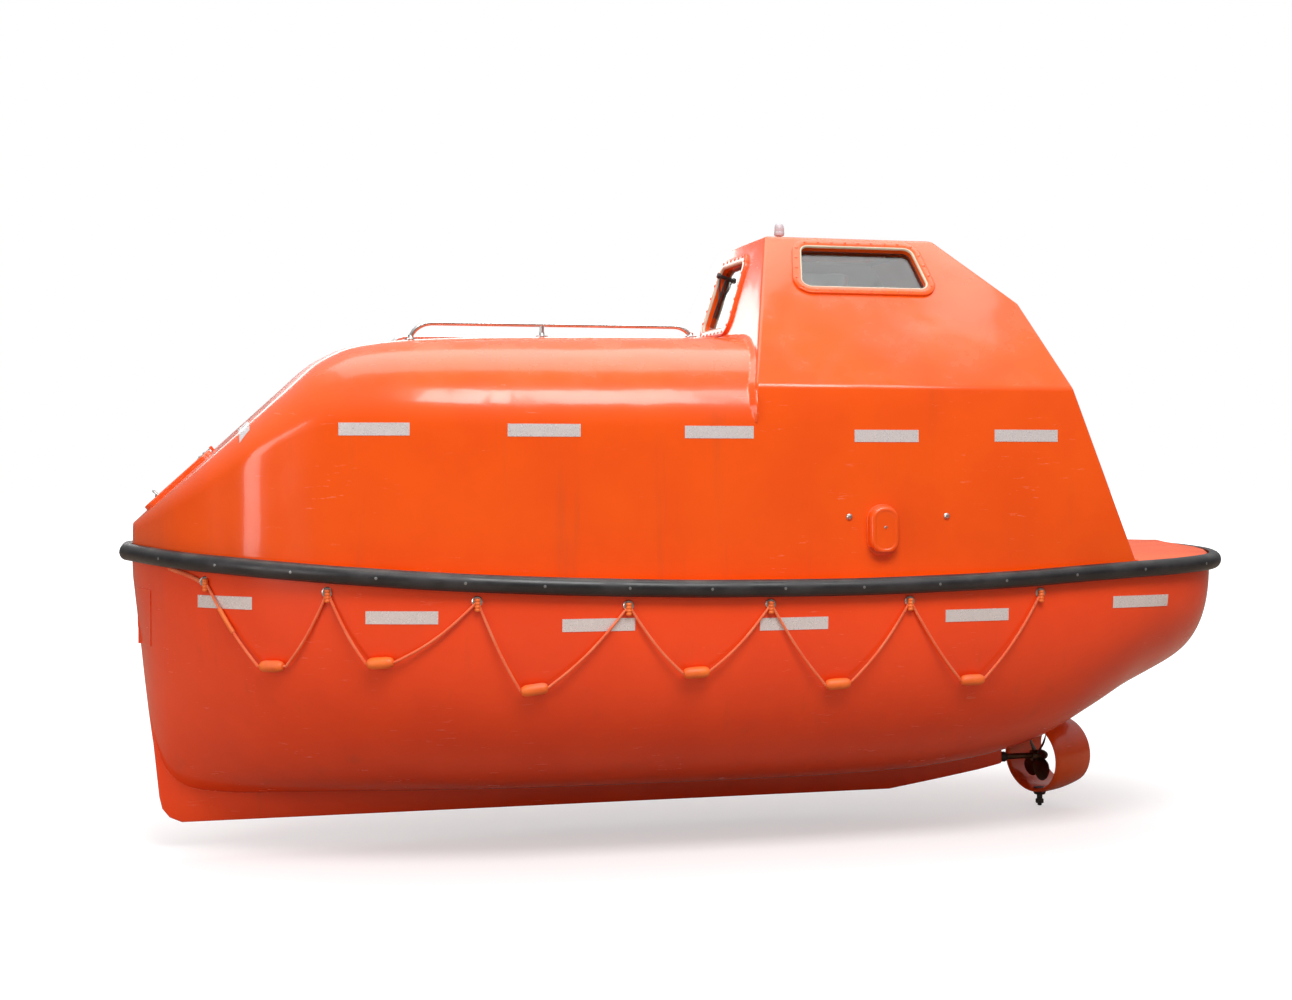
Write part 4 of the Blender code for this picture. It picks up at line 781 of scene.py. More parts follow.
def finish_piece(thing, finish, sharp):
    """Fix the cuts into a moulding, remove the shapes that cut it and give it its finish."""
    for tool in applied(thing):
        bpy.data.objects.remove(tool)
    bm = merged(thing.data, 2e-5)
    bmesh.ops.dissolve_degenerate(bm, edges=bm.edges[:], dist=1e-5)
    written(bm, thing.data, outward=False)
    thing.data.materials.clear()
    thing.data.materials.append(FINISH[finish])
    shaded(thing.data, sharp)


def face_places(thing):
    """Centres and normals of a piece's faces."""
    values = np.empty((2, 3 * len(thing.data.polygons)))
    for row, key in zip(values, ("center", "normal")):
        thing.data.polygons.foreach_get(key, row)
    return values.reshape(2, -1, 3)


def line_faces(thing, mask):
    """Give the masked faces the pale liner finish."""
    thing.data.materials.append(FINISH["white_liner"])
    thing.data.polygons.foreach_set("material_index", mask.astype(np.int32))


def line_inside(thing):
    """Line the faces of the well and the benches."""
    centre, normal = face_places(thing)
    height = centre[:, 2] + DRAUGHT
    deep = (np.abs(centre[:, 1]) < hull_half(centre[:, 0], height) - 0.02) & (height > FOOT_WELL[3] - 0.002)
    into = (normal[:, 2] > 0.9) | (normal[:, 1] * centre[:, 1] < 0.0) | (np.abs(normal[:, 0]) > 0.95)
    within = (centre[:, 0] > -1.74) & (centre[:, 0] < 1.66) & (centre[:, 2] < level(BENCH_TOP) + 0.20)
    line_faces(thing, deep & into & within)


# Canopy and cab

def canopy_sections(x, steps, inset=0.0, foot=0.93):
    """Closed sections of the fore canopy: flat sides, quarter-ellipse shoulders and a slight crown."""
    half, crown, run_in, run_down = smooth_rows(CANOPY_STATIONS, x).T[:, :, None]
    half = half - inset
    crown = crown - inset * 1.2
    run_in = np.maximum(run_in - inset, 0.012)
    run_down = np.maximum(run_down - inset, 0.012)
    camber = CROWN_CAMBER * np.minimum(1.0, (half - run_in) / CAMBER_HALF)
    angle = np.linspace(0.0, 0.5 * math.pi, steps)[None, :]
    shoulder_y = half - run_in + run_in * np.cos(angle)
    shoulder_z = crown - camber - run_down + run_down * np.sin(angle)
    side_z = foot + (shoulder_z[:, :1] - foot) * np.linspace(0.0, 1.0, 12)[None, :-1]
    side_y = np.broadcast_to(half, side_z.shape)
    across = np.linspace(1.0, 0.0, 9)[None, 1:]
    top_y = (half - run_in) * across
    top_z = crown - camber * across ** 2
    y = np.concatenate([side_y, shoulder_y, top_y], axis=1)
    z = np.concatenate([side_z, shoulder_z, top_z], axis=1)
    return both_sides(x, y, z)


def plane_solid(name, planes):
    """A convex solid inside planes of (point, outward direction), cut out of a large box."""
    bm = bmesh.new()
    bmesh.ops.create_cube(bm, size=12.0)
    for point, outward in planes:
        geom = bm.verts[:] + bm.edges[:] + bm.faces[:]
        cut = bmesh.ops.bisect_plane(bm, geom=geom, dist=1e-7, plane_co=point, plane_no=outward,
                                     clear_outer=True)
        edges = [e for e in cut["geom_cut"] if isinstance(e, bmesh.types.BMEdge)]
        if edges:
            bmesh.ops.edgeloop_fill(bm, edges=edges)
    mesh = bpy.data.meshes.new(name)
    written(bm, mesh)
    return linked(name, mesh)


def half_width(height):
    """Half-width of the straight part and of the cab at a height."""
    return SIDE_HALF - max(height - CREASE, 0.0) * (SIDE_HALF - ROOF_HALF) / (ROOF - CREASE)


def tower_shape(name, outline):
    """The straight part and the cab as one solid: its outline from the side, between sloping sides.

    The outline's points run from the front foot over the roof to the aft foot. Its first, second, sixth
    and seventh point bound the upright sides, and the second to the sixth bound the sloping ones.
    """
    points = [(x, side * half_width(z), level(z)) for side in (-1, 1) for x, z in outline]
    count = len(outline)
    faces = [(k, k + 1, count + k + 1, count + k) for k in range(count - 1)]
    faces.append((count - 1, 0, count, 2 * count - 1))
    for start in (0, count):
        faces.append((start, start + 1, start + 5, start + 6))
        faces.append(tuple(start + k for k in range(1, 6)))
    return add_mesh(name, points, faces, body=None)


def wall_out(lower, upper, flip):
    """Outward direction of a wall that stands on the line from lower to upper, seen from the side."""
    run = unit(np.array([upper[0] - lower[0], upper[1] - lower[1]]))
    return np.array([run[1] * flip, 0.0, -run[0] * flip])


SIDE_OUT = unit(np.array([0.0, ROOF - CREASE, SIDE_HALF - ROOF_HALF]))
FRONT_OUT = wall_out(BOX_FRONT, CAB_FRONT_TOP, -1.0)
LOW_OUT = wall_out(CREASE_AFT, CAB_AFT_KNUCKLE, 1.0)
HIGH_OUT = wall_out(CAB_AFT_KNUCKLE, CAB_AFT_TOP, 1.0)
BOX_AFT_OUT = wall_out(BOX_AFT_FOOT, CREASE_AFT, 1.0)


def box_planes(inset):
    """Planes of the canopy's straight part under the cab."""
    aft = np.array([CREASE_AFT[0], 0.0, level(CREASE_AFT[1])]) - BOX_AFT_OUT * inset
    return [((0.0, SIDE_HALF - inset, 0.0), STARBOARD),
            ((0.0, inset - SIDE_HALF, 0.0), (0.0, -1.0, 0.0)),
            ((BOX_FRONT[0] + inset, 0.0, 0.0), (-1.0, 0.0, 0.0)),
            (aft, BOX_AFT_OUT),
            ((0.0, 0.0, level(CREASE)), UP),
            ((0.0, 0.0, level(BOX_FOOT)), (0.0, 0.0, -1.0))]


def cab_planes(inset):
    """Planes of the cab: sides, front, two aft walls, roof and foot."""
    crease = level(CREASE)
    mirror = SIDE_OUT * (1.0, -1.0, 1.0)
    return [(np.array([0.0, SIDE_HALF, crease]) - SIDE_OUT * inset, SIDE_OUT),
            (np.array([0.0, -SIDE_HALF, crease]) - mirror * inset, mirror),
            (np.array([BOX_FRONT[0], 0.0, crease]) - FRONT_OUT * inset, FRONT_OUT),
            (np.array([CREASE_AFT[0], 0.0, crease]) - LOW_OUT * inset, LOW_OUT),
            (np.array([CAB_AFT_TOP[0], 0.0, level(ROOF)]) - HIGH_OUT * inset, HIGH_OUT),
            ((0.0, 0.0, level(ROOF) - inset), UP),
            ((0.0, 0.0, crease - 0.002), (0.0, 0.0, -1.0))]


def below_sheer_shape():
    """Everything under the hull's edge, which the canopy stands on."""
    x = np.concatenate([[-2.7], np.linspace(*HULL_ENDS, 90), [2.6]])
    top = level(smooth_rows(HULL_STATIONS, np.clip(x, *HULL_ENDS))[:, 2]) + 0.0003
    low, wide = np.full_like(top, -0.6), np.full_like(top, 1.4)
    corners = [(x, -wide, low), (x, wide, low), (x, wide, top), (x, -wide, top)]
    return shape("below_sheer_shape", np.stack([np.stack(corner, axis=1) for corner in corners], axis=1))


def side_wall(side):
    """Sloping side of the cab: X runs aft, Y up the slope from the crease. Side is -1 for port."""
    return Wall((0.0, side * SIDE_HALF, level(CREASE)), AFT, SIDE_OUT * (1.0, side, 1.0))


def front_wall():
    """Raked front of the cab: X runs to port, Y up the slope from the crease."""
    return Wall((BOX_FRONT[0], 0.0, level(CREASE)), (0.0, -1.0, 0.0), FRONT_OUT)


# Glass corners in their wall, X across and Y up the slope
SIDE_GLASS = [(0.302, 0.563), (0.875, 0.563), (0.845, 0.800), (0.345, 0.800)]
FRONT_GLASS = [(-0.200, 0.300), (0.200, 0.300), (0.180, 0.600), (-0.180, 0.600)]
GLASS_CORNER = 0.035
RIM_OUT = 0.042


def window_places():
    """Name, wall and glass corners of each window."""
    places = []
    for side, word in SIDES:
        corners = SIDE_GLASS if side < 0 else [(x, -y) for x, y in reversed(SIDE_GLASS)]
        places.append(("side_window_" + word, side_wall(side), corners))
    places.append(("windscreen", front_wall(), FRONT_GLASS))
    return places


# Openings for the hatches. Columns: name, place, direction from the hinge to the free edge,
# outward direction, half-length, half-width at the hinge, how much narrower at the free edge
BOW_HATCH_X = -2.262
BOW_FOOT = (-2.446, 1.256)
BOW_TOP = (-1.722, 1.925)
BOW_RISE = (BOW_TOP[1] - BOW_FOOT[1]) / (BOW_TOP[0] - BOW_FOOT[0])
BOW_ALONG = unit(np.array([1.0, 0.0, BOW_RISE]))
BOW_PLACE = (BOW_HATCH_X, 0.0, BOW_FOOT[1] + (BOW_HATCH_X - BOW_FOOT[0]) * BOW_RISE + 0.004)
BOW_OUT = (-BOW_ALONG[2], 0.0, BOW_ALONG[0])
HATCHES = [
    ("bow_hatch", BOW_PLACE, -BOW_ALONG, BOW_OUT, 0.175, 0.220, 0.070),
    ("side_door", (-0.600, SIDE_HALF, 1.462), AFT, STARBOARD, 0.350, 0.340, 0.0),
    ("aft_door", (RECESS_X, 0.0, 1.850), STARBOARD, AFT, 0.275, 0.345, 0.0),
    ("roof_hatch", (0.680, 0.0, ROOF), (-1.0, 0.0, 0.0), UP, 0.220, 0.220, 0.0),
]
HATCH_CORNER = 0.05
COAMING_WIDTH = 0.03


def tapered(half_u, half_v, narrower):
    """Corners of a rectangle that is narrower at its free edge, anticlockwise."""
    return np.array([(-half_u, -half_v), (half_u, narrower - half_v), (half_u, half_v - narrower),
                     (-half_u, half_v)])


def grown_corners(corners, distance):
    """Corners of a convex outline with every side moved outward by a distance."""
    here = np.asarray(corners, float)
    back = unit(here - np.roll(here, 1, axis=0))
    ahead = unit(np.roll(here, -1, axis=0) - here)
    out_back = np.stack([back[:, 1], -back[:, 0]], axis=1)
    out_ahead = np.stack([ahead[:, 1], -ahead[:, 0]], axis=1)
    middle = out_back + out_ahead
    return here + distance * middle / (1.0 + (out_back * out_ahead).sum(axis=1, keepdims=True))


def hatch_wall(row):
    """Wall of a hatch: X runs from the hinge to the free edge."""
    x, y, height = row[1]
    return Wall((x, y, level(height)), *row[2:4])


def hatch_outline(row, grow=0.0):
    """Rounded outline of a hatch, grown or shrunk."""
    corners = grown_corners(tapered(*row[4:7]), grow)
    return rounded_corners(corners, max(HATCH_CORNER + grow, 0.012), 8)


def make_canopy():
    """Canopy and cab as one hollow moulding with rounded edges, its windows and ways in cut through."""
    x = end_heavy(*CANOPY_ENDS, 90, 0.6)
    shell = shape("canopy_and_cab", canopy_sections(x, 22))
    foot_x = (CREASE_AFT[0] + (CREASE - BOX_FOOT) * (BOX_AFT_FOOT[0] - CREASE_AFT[0])
              / (CREASE - BOX_AFT_FOOT[1]))
    outline = [(BOX_FRONT[0], BOX_FOOT), BOX_FRONT, CAB_FRONT_TOP, CAB_AFT_TOP, CAB_AFT_KNUCKLE, CREASE_AFT,
               (foot_x, BOX_FOOT)]
    box = tower_shape("tower_shape", outline)
    soften(box, EDGE_ROUND, 5, lambda e: max(v.co.z for v in e.verts) > level(0.95), 8.0)
    combine(shell, "UNION", box)

    inner_x = end_heavy(-2.38, CANOPY_ENDS[1] + SHELL, 60, 0.6)
    inner_x[-1] = CANOPY_ENDS[1]
    rings = canopy_sections(inner_x, 12, SHELL, 0.73)
    rings[0, :, 0] += 0.03
    hollow = shape("canopy_hollow", rings)
    combine(hollow, "UNION", plane_solid("box_hollow", box_planes(SHELL)),
            plane_solid("tower_hollow", cab_planes(SHELL)))
    low = np.array([RECESS_X, -RECESS_HALF, level(RECESS_FLOOR)])
    past_aft, above = 2.2, level(2.7)
    wall = box_shape("recess_wall", low - SHELL, (past_aft, RECESS_HALF + SHELL, above))
    combine(hollow, "DIFFERENCE", wall)
    tools = applied(hollow)
    recess = box_shape("recess", low, (past_aft, RECESS_HALF, above))
    soften(recess, 0.018, 4)
    windows = [shape(name + "_opening", layered(wall, rounded_corners(corners, GLASS_CORNER, 8),
                                                [(0.0, -0.09), (0.0, 0.05)]))
               for name, wall, corners in window_places()]
    hatches = [shape(row[0] + "_opening", layered(hatch_wall(row), hatch_outline(row, -COAMING_WIDTH),
                                                  [(0.0, -0.16), (0.0, 0.12)])) for row in HATCHES]
    combine(shell, "DIFFERENCE", hollow, recess, below_sheer_shape(), *windows, *hatches)
    finish_piece(shell, "canopy_gelcoat", 26.0)
    for tool in tools:
        bpy.data.objects.remove(tool)
    paint_inside(shell)
    belongs(shell, "canopy_gelcoat", nodes=["canopy", "cab"])


def paint_inside(thing):
    """Line the faces of the hollow: those that look into the space inside the shell."""
    centre, normal = face_places(thing)
    probe = centre + normal * 0.004
    edge = LINED_DEPTH
    rows = smooth_rows(CANOPY_STATIONS, np.clip(probe[:, 0], *CANOPY_ENDS))
    half, crown = rows[:, 0] - edge, rows[:, 1] - edge
    in_fore = (probe[:, 0] < 0.10) & (np.abs(probe[:, 1]) < half) & (probe[:, 2] + DRAUGHT < crown)
    in_fore &= inside_shoulder(probe, rows)
    in_aft = np.ones(len(probe), bool)
    for point, outward in box_planes(edge)[:4] + cab_planes(edge)[:6]:
        in_aft &= ((probe - np.asarray(point)) @ np.asarray(outward)) < 0.0
    recess = ((probe[:, 0] > RECESS_X - edge) & (np.abs(probe[:, 1]) < RECESS_HALF + edge)
              & (probe[:, 2] > level(RECESS_FLOOR) - edge))
    line_faces(thing, (in_fore | in_aft) & ~recess)


def inside_shoulder(points, rows):
    """Whether points lie inside the rounded shoulder, by more than the lined depth."""
    half, crown, run_in, run_down = rows.T
    edge = LINED_DEPTH
    run_in = np.maximum(run_in - edge, 0.01)
    run_down = np.maximum(run_down - edge, 0.01)
    y = (np.abs(points[:, 1]) - (half - edge - run_in)) / run_in
    z = (points[:, 2] + DRAUGHT - (crown - edge - CROWN_CAMBER - run_down)) / run_down
    return (y < 0.0) | (z < 0.0) | (y ** 2 + z ** 2 < 1.0)


def make_cab_fillet():
    """Hollow fillet where the cab's front and its corners grow out of the fore canopy's shoulder.

    The path is the curve where the canopy's section meets the cab's front. Across it, an arc of the
    fillet's radius touches both surfaces; the radius runs out where the step between them does.
    """
    half, crown, run_in, run_down = smooth_rows(CANOPY_STATIONS, np.array([0.03]))[0]
    camber = CROWN_CAMBER
    angle = np.linspace(0.06, 0.5 * math.pi, 60)
    y = half - run_in + run_in * np.cos(angle)
    z = crown - camber - run_down + run_down * np.sin(angle)
    out = unit(np.stack([np.zeros_like(y), np.cos(angle) / run_in, np.sin(angle) / run_down], axis=1))
    across = np.linspace(1.0, 0.0, 24)[1:]
    y = np.concatenate([y, (half - run_in) * across])
    z = np.concatenate([z, crown - camber * across ** 2])
    flat = unit(np.stack([np.zeros_like(across), 2.0 * camber * across / (half - run_in),
                          np.ones_like(across)], axis=1))
    out = np.vstack([out, flat])
    blend = np.clip((z - CREASE + 0.03) / 0.06, 0.0, 1.0)[:, None]
    front = unit(np.array([-1.0, 0.0, 0.0]) * (1.0 - blend) + FRONT_OUT * blend)
    slant = (CAB_FRONT_TOP[0] - BOX_FRONT[0]) / (ROOF - CREASE)
    x = BOX_FRONT[0] + np.maximum(z - CREASE, 0.0) * slant
    step = np.hypot(SIDE_HALF - y, np.maximum(z - 1.64, 0.0))
    radius = np.clip(0.30 * step, 0.0015, 0.028)
    point = np.stack([x, y, level(z)], axis=1)
    cosine = (out * front).sum(axis=1)
    centre = point + radius[:, None] * (out + front) / (1.0 + cosine)[:, None]
    turn = np.linspace(0.0, 1.0, 9)[None, :, None]
    arc = unit(-out[:, None, :] * (1.0 - turn) - front[:, None, :] * turn)
    curve = centre[:, None, :] + radius[:, None, None] * arc
    deep = 0.004
    base_a = curve[:, :1] - out[:, None, :] * deep
    base_b = curve[:, -1:] - front[:, None, :] * deep
    rings = np.concatenate([base_a, curve, base_b], axis=1)
    mirrored = rings[::-1] * (1.0, -1.0, 1.0)
    grid = np.concatenate([rings, mirrored[1:]], axis=0)
    add_many("cab_fillet", [grid], "canopy_gelcoat", sharp=50.0, slot=True)


# Rubber belt

def belt_path():
    """Points round the hull's edge, from the bow down the port side, round the stern and back."""
    x = end_heavy(*HULL_ENDS, 260, 0.3)
    half, _, top, _ = smooth_rows(HULL_STATIONS, x).T
    port = np.stack([x, -half, level(top)], axis=1)
    return evenly(np.vstack([port, port[::-1] * (1.0, -1.0, 1.0), port[:1]]), 0.03, closed=True)


# Lower half of the belt's section. Columns: outward from the hull, height
FENDER_LOWER = [(0.0010, -0.0330), (0.012, -0.0348), (0.020, -0.0350), (0.029, -0.0335), (0.037, -0.0295),
                (0.044, -0.0230), (0.0490, -0.0145), (0.0515, -0.0050)]
BELT_BOLT = [(0.0500, 0.0), (0.0500, 0.0060), (0.0514, 0.0060), (0.0518, 0.0045), (0.0519, 0.0)]
BELT_BOLT_GAP = 0.32


def make_fender():
    """Rubber belt of a rounded section, with flush bolts along its middle."""
    path = belt_path()
    along = tangents(path, closed=True)
    along[:, 2] = 0.0
    along = unit(along)
    out = np.stack([along[:, 1], -along[:, 0], np.zeros(len(along))], axis=1)
    section = np.vstack([FENDER_LOWER, np.array(FENDER_LOWER[::-1]) * (1.0, -1.0)])
    grid = (path[:, None, :] + out[:, None, :] * section[None, :, :1]
            + section[None, :, 1:] * np.array([0.0, 0.0, 1.0]))
    add_ring("fender_belt", grid, "black_rubber", sharp=40.0, slot=True, nodes=["fender"])
    heads = []
    run = evenly(np.vstack([path, path[:1]]), BELT_BOLT_GAP, closed=True)
    for place in run:
        near = np.argmin(((path - place) ** 2).sum(axis=1))
        heads.append(turned(BELT_BOLT, path[near], out[near], 14))
    add_many("fender_bolts", heads, "painted_hook", slot="stainless_steel")


# Windows

def make_windows():
    """Raised bolted frame and cream seal of each window, round its imported tinted pane."""
    for name, wall, corners in window_places():
        hole = rounded_corners(corners, GLASS_CORNER, 10)
        rim = offset_outline(hole, RIM_OUT)
        rings = np.concatenate([
            layered(wall, rim, [(0.0, 0.0003), (0.0, 0.0085), (-0.0014, 0.0110), (-0.0040, 0.0120)]),
            layered(wall, hole, [(0.0110, 0.0120), (0.0085, 0.0112), (0.0080, 0.0095), (0.0080, 0.0003)])])
        add_ring(name + "_bolted_frame", rings, "canopy_gelcoat", sharp=40.0, slot=True,
                 nodes=[name + "_frame"])
        rings = layered(wall, hole, [(0.0078, 0.0015), (0.0078, 0.0105), (0.0062, 0.0118), (0.0036, 0.0115),
                                     (0.0010, 0.0070), (0.0006, 0.0015)])
        add_ring(name + "_seal", rings, "window_seal", sharp=60.0)
        centre_line = evenly(np.vstack([offset_outline(hole, 0.026)] * 2)[:len(hole) + 1], 0.062, closed=True)
        heads = []
        for u, v in centre_line:
            heads.append(turned([(0.0112, 0.0), (0.0112, 0.0062), (0.0140, 0.0062), (0.0152, 0.0040),
                                 (0.0152, 0.0)], wall.at(u, v, 0.0), wall.out, 12))
        add_many(name + "_frame_bolts", heads, "canopy_gelcoat")


# Lids of the hatches. Columns: coaming's rise, lid's thickness, knuckle's radius, hinge places, body,
# place of the handle from the hinge to the free edge, its half-length, places of the dogs
FIT_GAP = 0.0003
HINGE_OUT = 0.014
KNUCKLE_HALF = 0.024
BRACKET_LONG = 0.016
LIDS = {
    "bow_hatch": (0.003, 0.012, 0.006, (-0.12, 0.12), "bow_lid", 0.105, 0.045, ()),
    "side_door": (0.025, 0.025, 0.011, (-0.22, 0.22), "boarding_door", 0.270, 0.070,
                  ((0.290, -0.220), (0.290, 0.220))),
    "aft_door": (0.025, 0.020, 0.011, (-0.22, 0.22), "recess_door", 0.200, 0.060,
                 ((0.215, -0.230), (0.215, 0.230))),
    "roof_hatch": (0.000, 0.014, 0.007, (-0.12, 0.12), "roof_lid", 0.150, 0.050, ()),
}


def slab(wall, low, high, corner, edge, steps=4):
    """Plate on a wall between two corners (across, up, out), with rounded corners and upper edge."""
    u0, v0, w0 = low
    u1, v1, w1 = high
    outline = rounded_corners([(u0, v0), (u1, v0), (u1, v1), (u0, v1)], corner, steps)
    return layered(wall, outline, soft_layers(w0, w1, edge, 3))


def rod(start, end, radius, chamfer=0.0008, count=20):
    """Round bar from point to point with chamfered ends."""
    start = np.asarray(start, float)
    run = np.asarray(end, float) - start
    length = float(np.linalg.norm(run))
    profile = [(0.0, 0.0), (0.0, radius - chamfer), (chamfer, radius), (length - chamfer, radius),
               (length, radius - chamfer), (length, 0.0)]
    return turned(profile, start, run, count)


def bent_tube(points, radius, spacing=0.006, sides=14):
    """Tube along a smooth curve through points."""
    path = curve_through(points, spacing)
    reference = unit(np.array([0.31, 0.47, 0.83]))
    return swept(path, circle(radius, sides), reference)


def bolt_head(wall, u, v, w, radius):
    """Domed bolt head standing on a wall."""
    profile = [(-0.001, 0.0), (-0.001, radius), (0.35 * radius, radius), (0.62 * radius, 0.72 * radius),
               (0.72 * radius, 0.0)]
    return turned(profile, wall.at(u, v, w), wall.out, 12)


def make_lids():
    """Hatch lids with a pressed panel, hinges, handle and dogs, and the coamings that they close on."""
    for row in HATCHES:
        name, half_u = row[0], row[4]
        rise, thick, radius, spots, body, grip, grip_half, dogs = LIDS[name]
        wall = hatch_wall(row)
        outline = hatch_outline(row)
        low, top = rise + FIT_GAP, rise + thick
        edge = min(0.006, 0.45 * thick)
        groove = min(0.003, 0.25 * thick)
        layers = np.vstack([soft_layers(low, top, edge, 5),
                            [(-0.026, top), (-0.0275, top - 0.6 * groove), (-0.030, top - groove),
                             (-0.036, top - groove), (-0.0385, top - 0.6 * groove), (-0.040, top)]])
        add_many(name + "_lid", [layered(wall, outline, layers)], "canopy_gelcoat", body=body, sharp=40.0,
                 slot=True, nodes=[name])
        axis_u, axis_w = -half_u - HINGE_OUT, rise + max(thick, radius + 0.005)
        moving, fixed = [], []
        for spot in spots:
            moving.append(rod(wall.at(axis_u, spot - KNUCKLE_HALF, axis_w),
                              wall.at(axis_u, spot + KNUCKLE_HALF, axis_w), radius))
            moving.append(slab(wall, (axis_u, spot - 0.92 * KNUCKLE_HALF, axis_w - 0.4 * radius),
                               (-half_u + 0.060, spot + 0.92 * KNUCKLE_HALF, max(axis_w, top) + 0.3 * radius),
                               0.004, 0.001))
            for u in (0.022, 0.046):
                moving.append(bolt_head(wall, -half_u + u, spot, max(axis_w, top) + 0.3 * radius, 0.0055))
            for flip in (-1.0, 1.0):
                near = spot + flip * (KNUCKLE_HALF + FIT_GAP)
                far = near + flip * BRACKET_LONG
                fixed.append(rod(wall.at(axis_u, near, axis_w), wall.at(axis_u, far, axis_w), radius))
                seat = FIT_GAP if rise > 0.0 else -0.004
                fixed.append(slab(wall, (axis_u - 0.7 * radius, min(near, far), seat),
                                  (axis_u + 0.7 * radius, max(near, far), axis_w), 0.002, 0.0004, 2))
        legs = [(grip, -grip_half, top - 0.002), (grip, -grip_half, top + 0.012),
                (grip, -grip_half + 0.008, top + 0.021), (grip, -grip_half + 0.020, top + 0.024)]
        far_legs = [(u, -v, w) for u, v, w in legs[::-1]]
        bail = [wall.at(u, v, w) for u, v, w in legs + far_legs]
        if name != "roof_hatch":
            moving.append(bent_tube(bail, 0.0048))
            moving += [bolt_head(wall, grip, v, top, 0.011) for v in (-grip_half, grip_half)]
        for u, v in dogs:
            moving.append(turned([(-0.001, 0.0), (-0.001, 0.020), (0.006, 0.020), (0.009, 0.016),
                                  (0.016, 0.012), (0.018, 0.0)], wall.at(u, v, top), wall.out, 24))
            moving.append(slab(wall, (u - 0.008, v - 0.055, top + 0.012), (u + 0.008, v + 0.010, top + 0.021),
                               0.007, 0.002))
        add_many(name + "_fittings", moving, "stainless_steel", body=body, sharp=40.0, slot=True)
        if name == "bow_hatch":
            continue
        if rise > 0.0:
            hole = offset_outline(outline, -COAMING_WIDTH)
            rings = np.concatenate([
                layered(wall, outline, [(0.0, FIT_GAP), (0.0, rise - 0.004), (-0.0012, rise - 0.0012),
                                        (-0.004, rise)]),
                layered(wall, hole, [(0.004, rise), (0.0012, rise - 0.0012), (0.0, rise - 0.004),
                                     (0.0, FIT_GAP)])])
            add_ring(name + "_rim", rings, "canopy_gelcoat", sharp=40.0, slot=True,
                     nodes=[name.split("_")[0] + "_coaming"])
        add_many(name + "_hinge_brackets", fixed, "stainless_steel", sharp=40.0, slot=True)


# Vent cowls low on the sides, and the two studs beside each
VENT_PLACE = (0.530, 1.230)
VENT_HALF = (0.068, 0.104)
VENT_CORNER = 0.062
VENT_LIP = -0.072
STUDS = [(0.387, 1.284), (0.814, 1.284)]
STUD_PROFILE = [(0.0004, 0.0), (0.0004, 0.013), (0.004, 0.013), (0.006, 0.010), (0.010, 0.007), (0.012, 0.0)]


def flank(side, x, height):
    """Upright wall on the canopy's side: X runs aft on both sides, so Y is down on the port side."""
    return Wall((x, side * SIDE_HALF, level(height)), (-side, 0.0, 0.0), (0.0, side, 0.0))


def capsule(inset, stretch=0.0):
    """Outline of the vent, inset, and stretched downward."""
    half_u, half_v = VENT_HALF[0] - inset, VENT_HALF[1] - inset
    corners = [(-half_u, -half_v - stretch), (half_u, -half_v - stretch), (half_u, half_v), (-half_u, half_v)]
    return rounded_corners(corners, VENT_CORNER - inset, 14)


def make_vents():
    """Capsule hoods, open below, on a base plate, with a raised rim round a flatter front."""
    for side, word in SIDES:
        wall = flank(side, *VENT_PLACE)
        hood = shape("vent_hood_" + word, layered(wall, capsule(0.004), [
            (0.0, 0.004), (0.0, 0.026), (-0.002, 0.034), (-0.006, 0.040), (-0.011, 0.0438), (-0.016, 0.0450),
            (-0.020, 0.0446), (-0.0225, 0.0425), (-0.026, 0.0420)]))
        inner = layered(wall, capsule(0.012, 0.08), [(0.0, 0.0065), (0.0, 0.028), (-0.006, 0.036)])
        lip = [(VENT_LIP, -0.01), (VENT_LIP - 0.020, 0.06), (-0.20, 0.06), (-0.20, -0.01)]
        mouth = np.array([[wall.at(u, v, w) for v, w in lip] for u in (-0.1, 0.1)])
        combine(hood, "DIFFERENCE", shape("vent_hollow_" + word, inner), shape("vent_mouth_" + word, mouth))
        finish_piece(hood, "canopy_gelcoat", 35.0)
        belongs(hood, "canopy_gelcoat", nodes=["vent_cowl_" + word])
        base = layered(wall, capsule(0.0), soft_layers(0.0004, 0.0060, 0.002))
        add_many("vent_base_" + word, [base], "canopy_gelcoat", slot=True)
        heads = [bolt_head(wall, 0.0, 0.012, 0.0420, 0.006)]
        for x, height in STUDS:
            stud = flank(side, x, height)
            heads.append(turned(STUD_PROFILE, stud.at(0.0, 0.0, 0.0), stud.out, 20))
        add_many("vent_studs_" + word, heads, "stainless_steel", slot=True)


# Handrails on the canopy. Columns of the path: x, height
RAIL_PATH = [(-1.345, 2.016), (-1.341, 2.030), (-1.328, 2.050), (-1.302, 2.069), (-1.268, 2.079),
             (-1.200, 2.0805), (-0.800, 2.082), (-0.300, 2.0835), (-0.225, 2.083), (-0.194, 2.075),
             (-0.172, 2.060), (-0.161, 2.048), (-0.158, 2.036)]
RAIL_SIDE = 0.45
RAIL_RADIUS = 0.010
RAIL_POST_X = -0.800


def canopy_top(x, y):
    """Height of the fore canopy's skin at places x and y: its crown, and its shoulder beyond."""
    x, y = np.broadcast_arrays(np.asarray(x, float), np.abs(y))
    half, crown, run_in, run_down = smooth_rows(CANOPY_STATIONS, x.ravel()).T.reshape(4, *x.shape)
    flat = half - run_in
    camber = CROWN_CAMBER * np.minimum(1.0, flat / CAMBER_HALF)
    over = np.clip((y - flat) / run_in, 0.0, 1.0)
    return crown - camber * np.minimum(y / flat, 1.0) ** 2 - run_down * (1.0 - np.sqrt(1.0 - over ** 2))


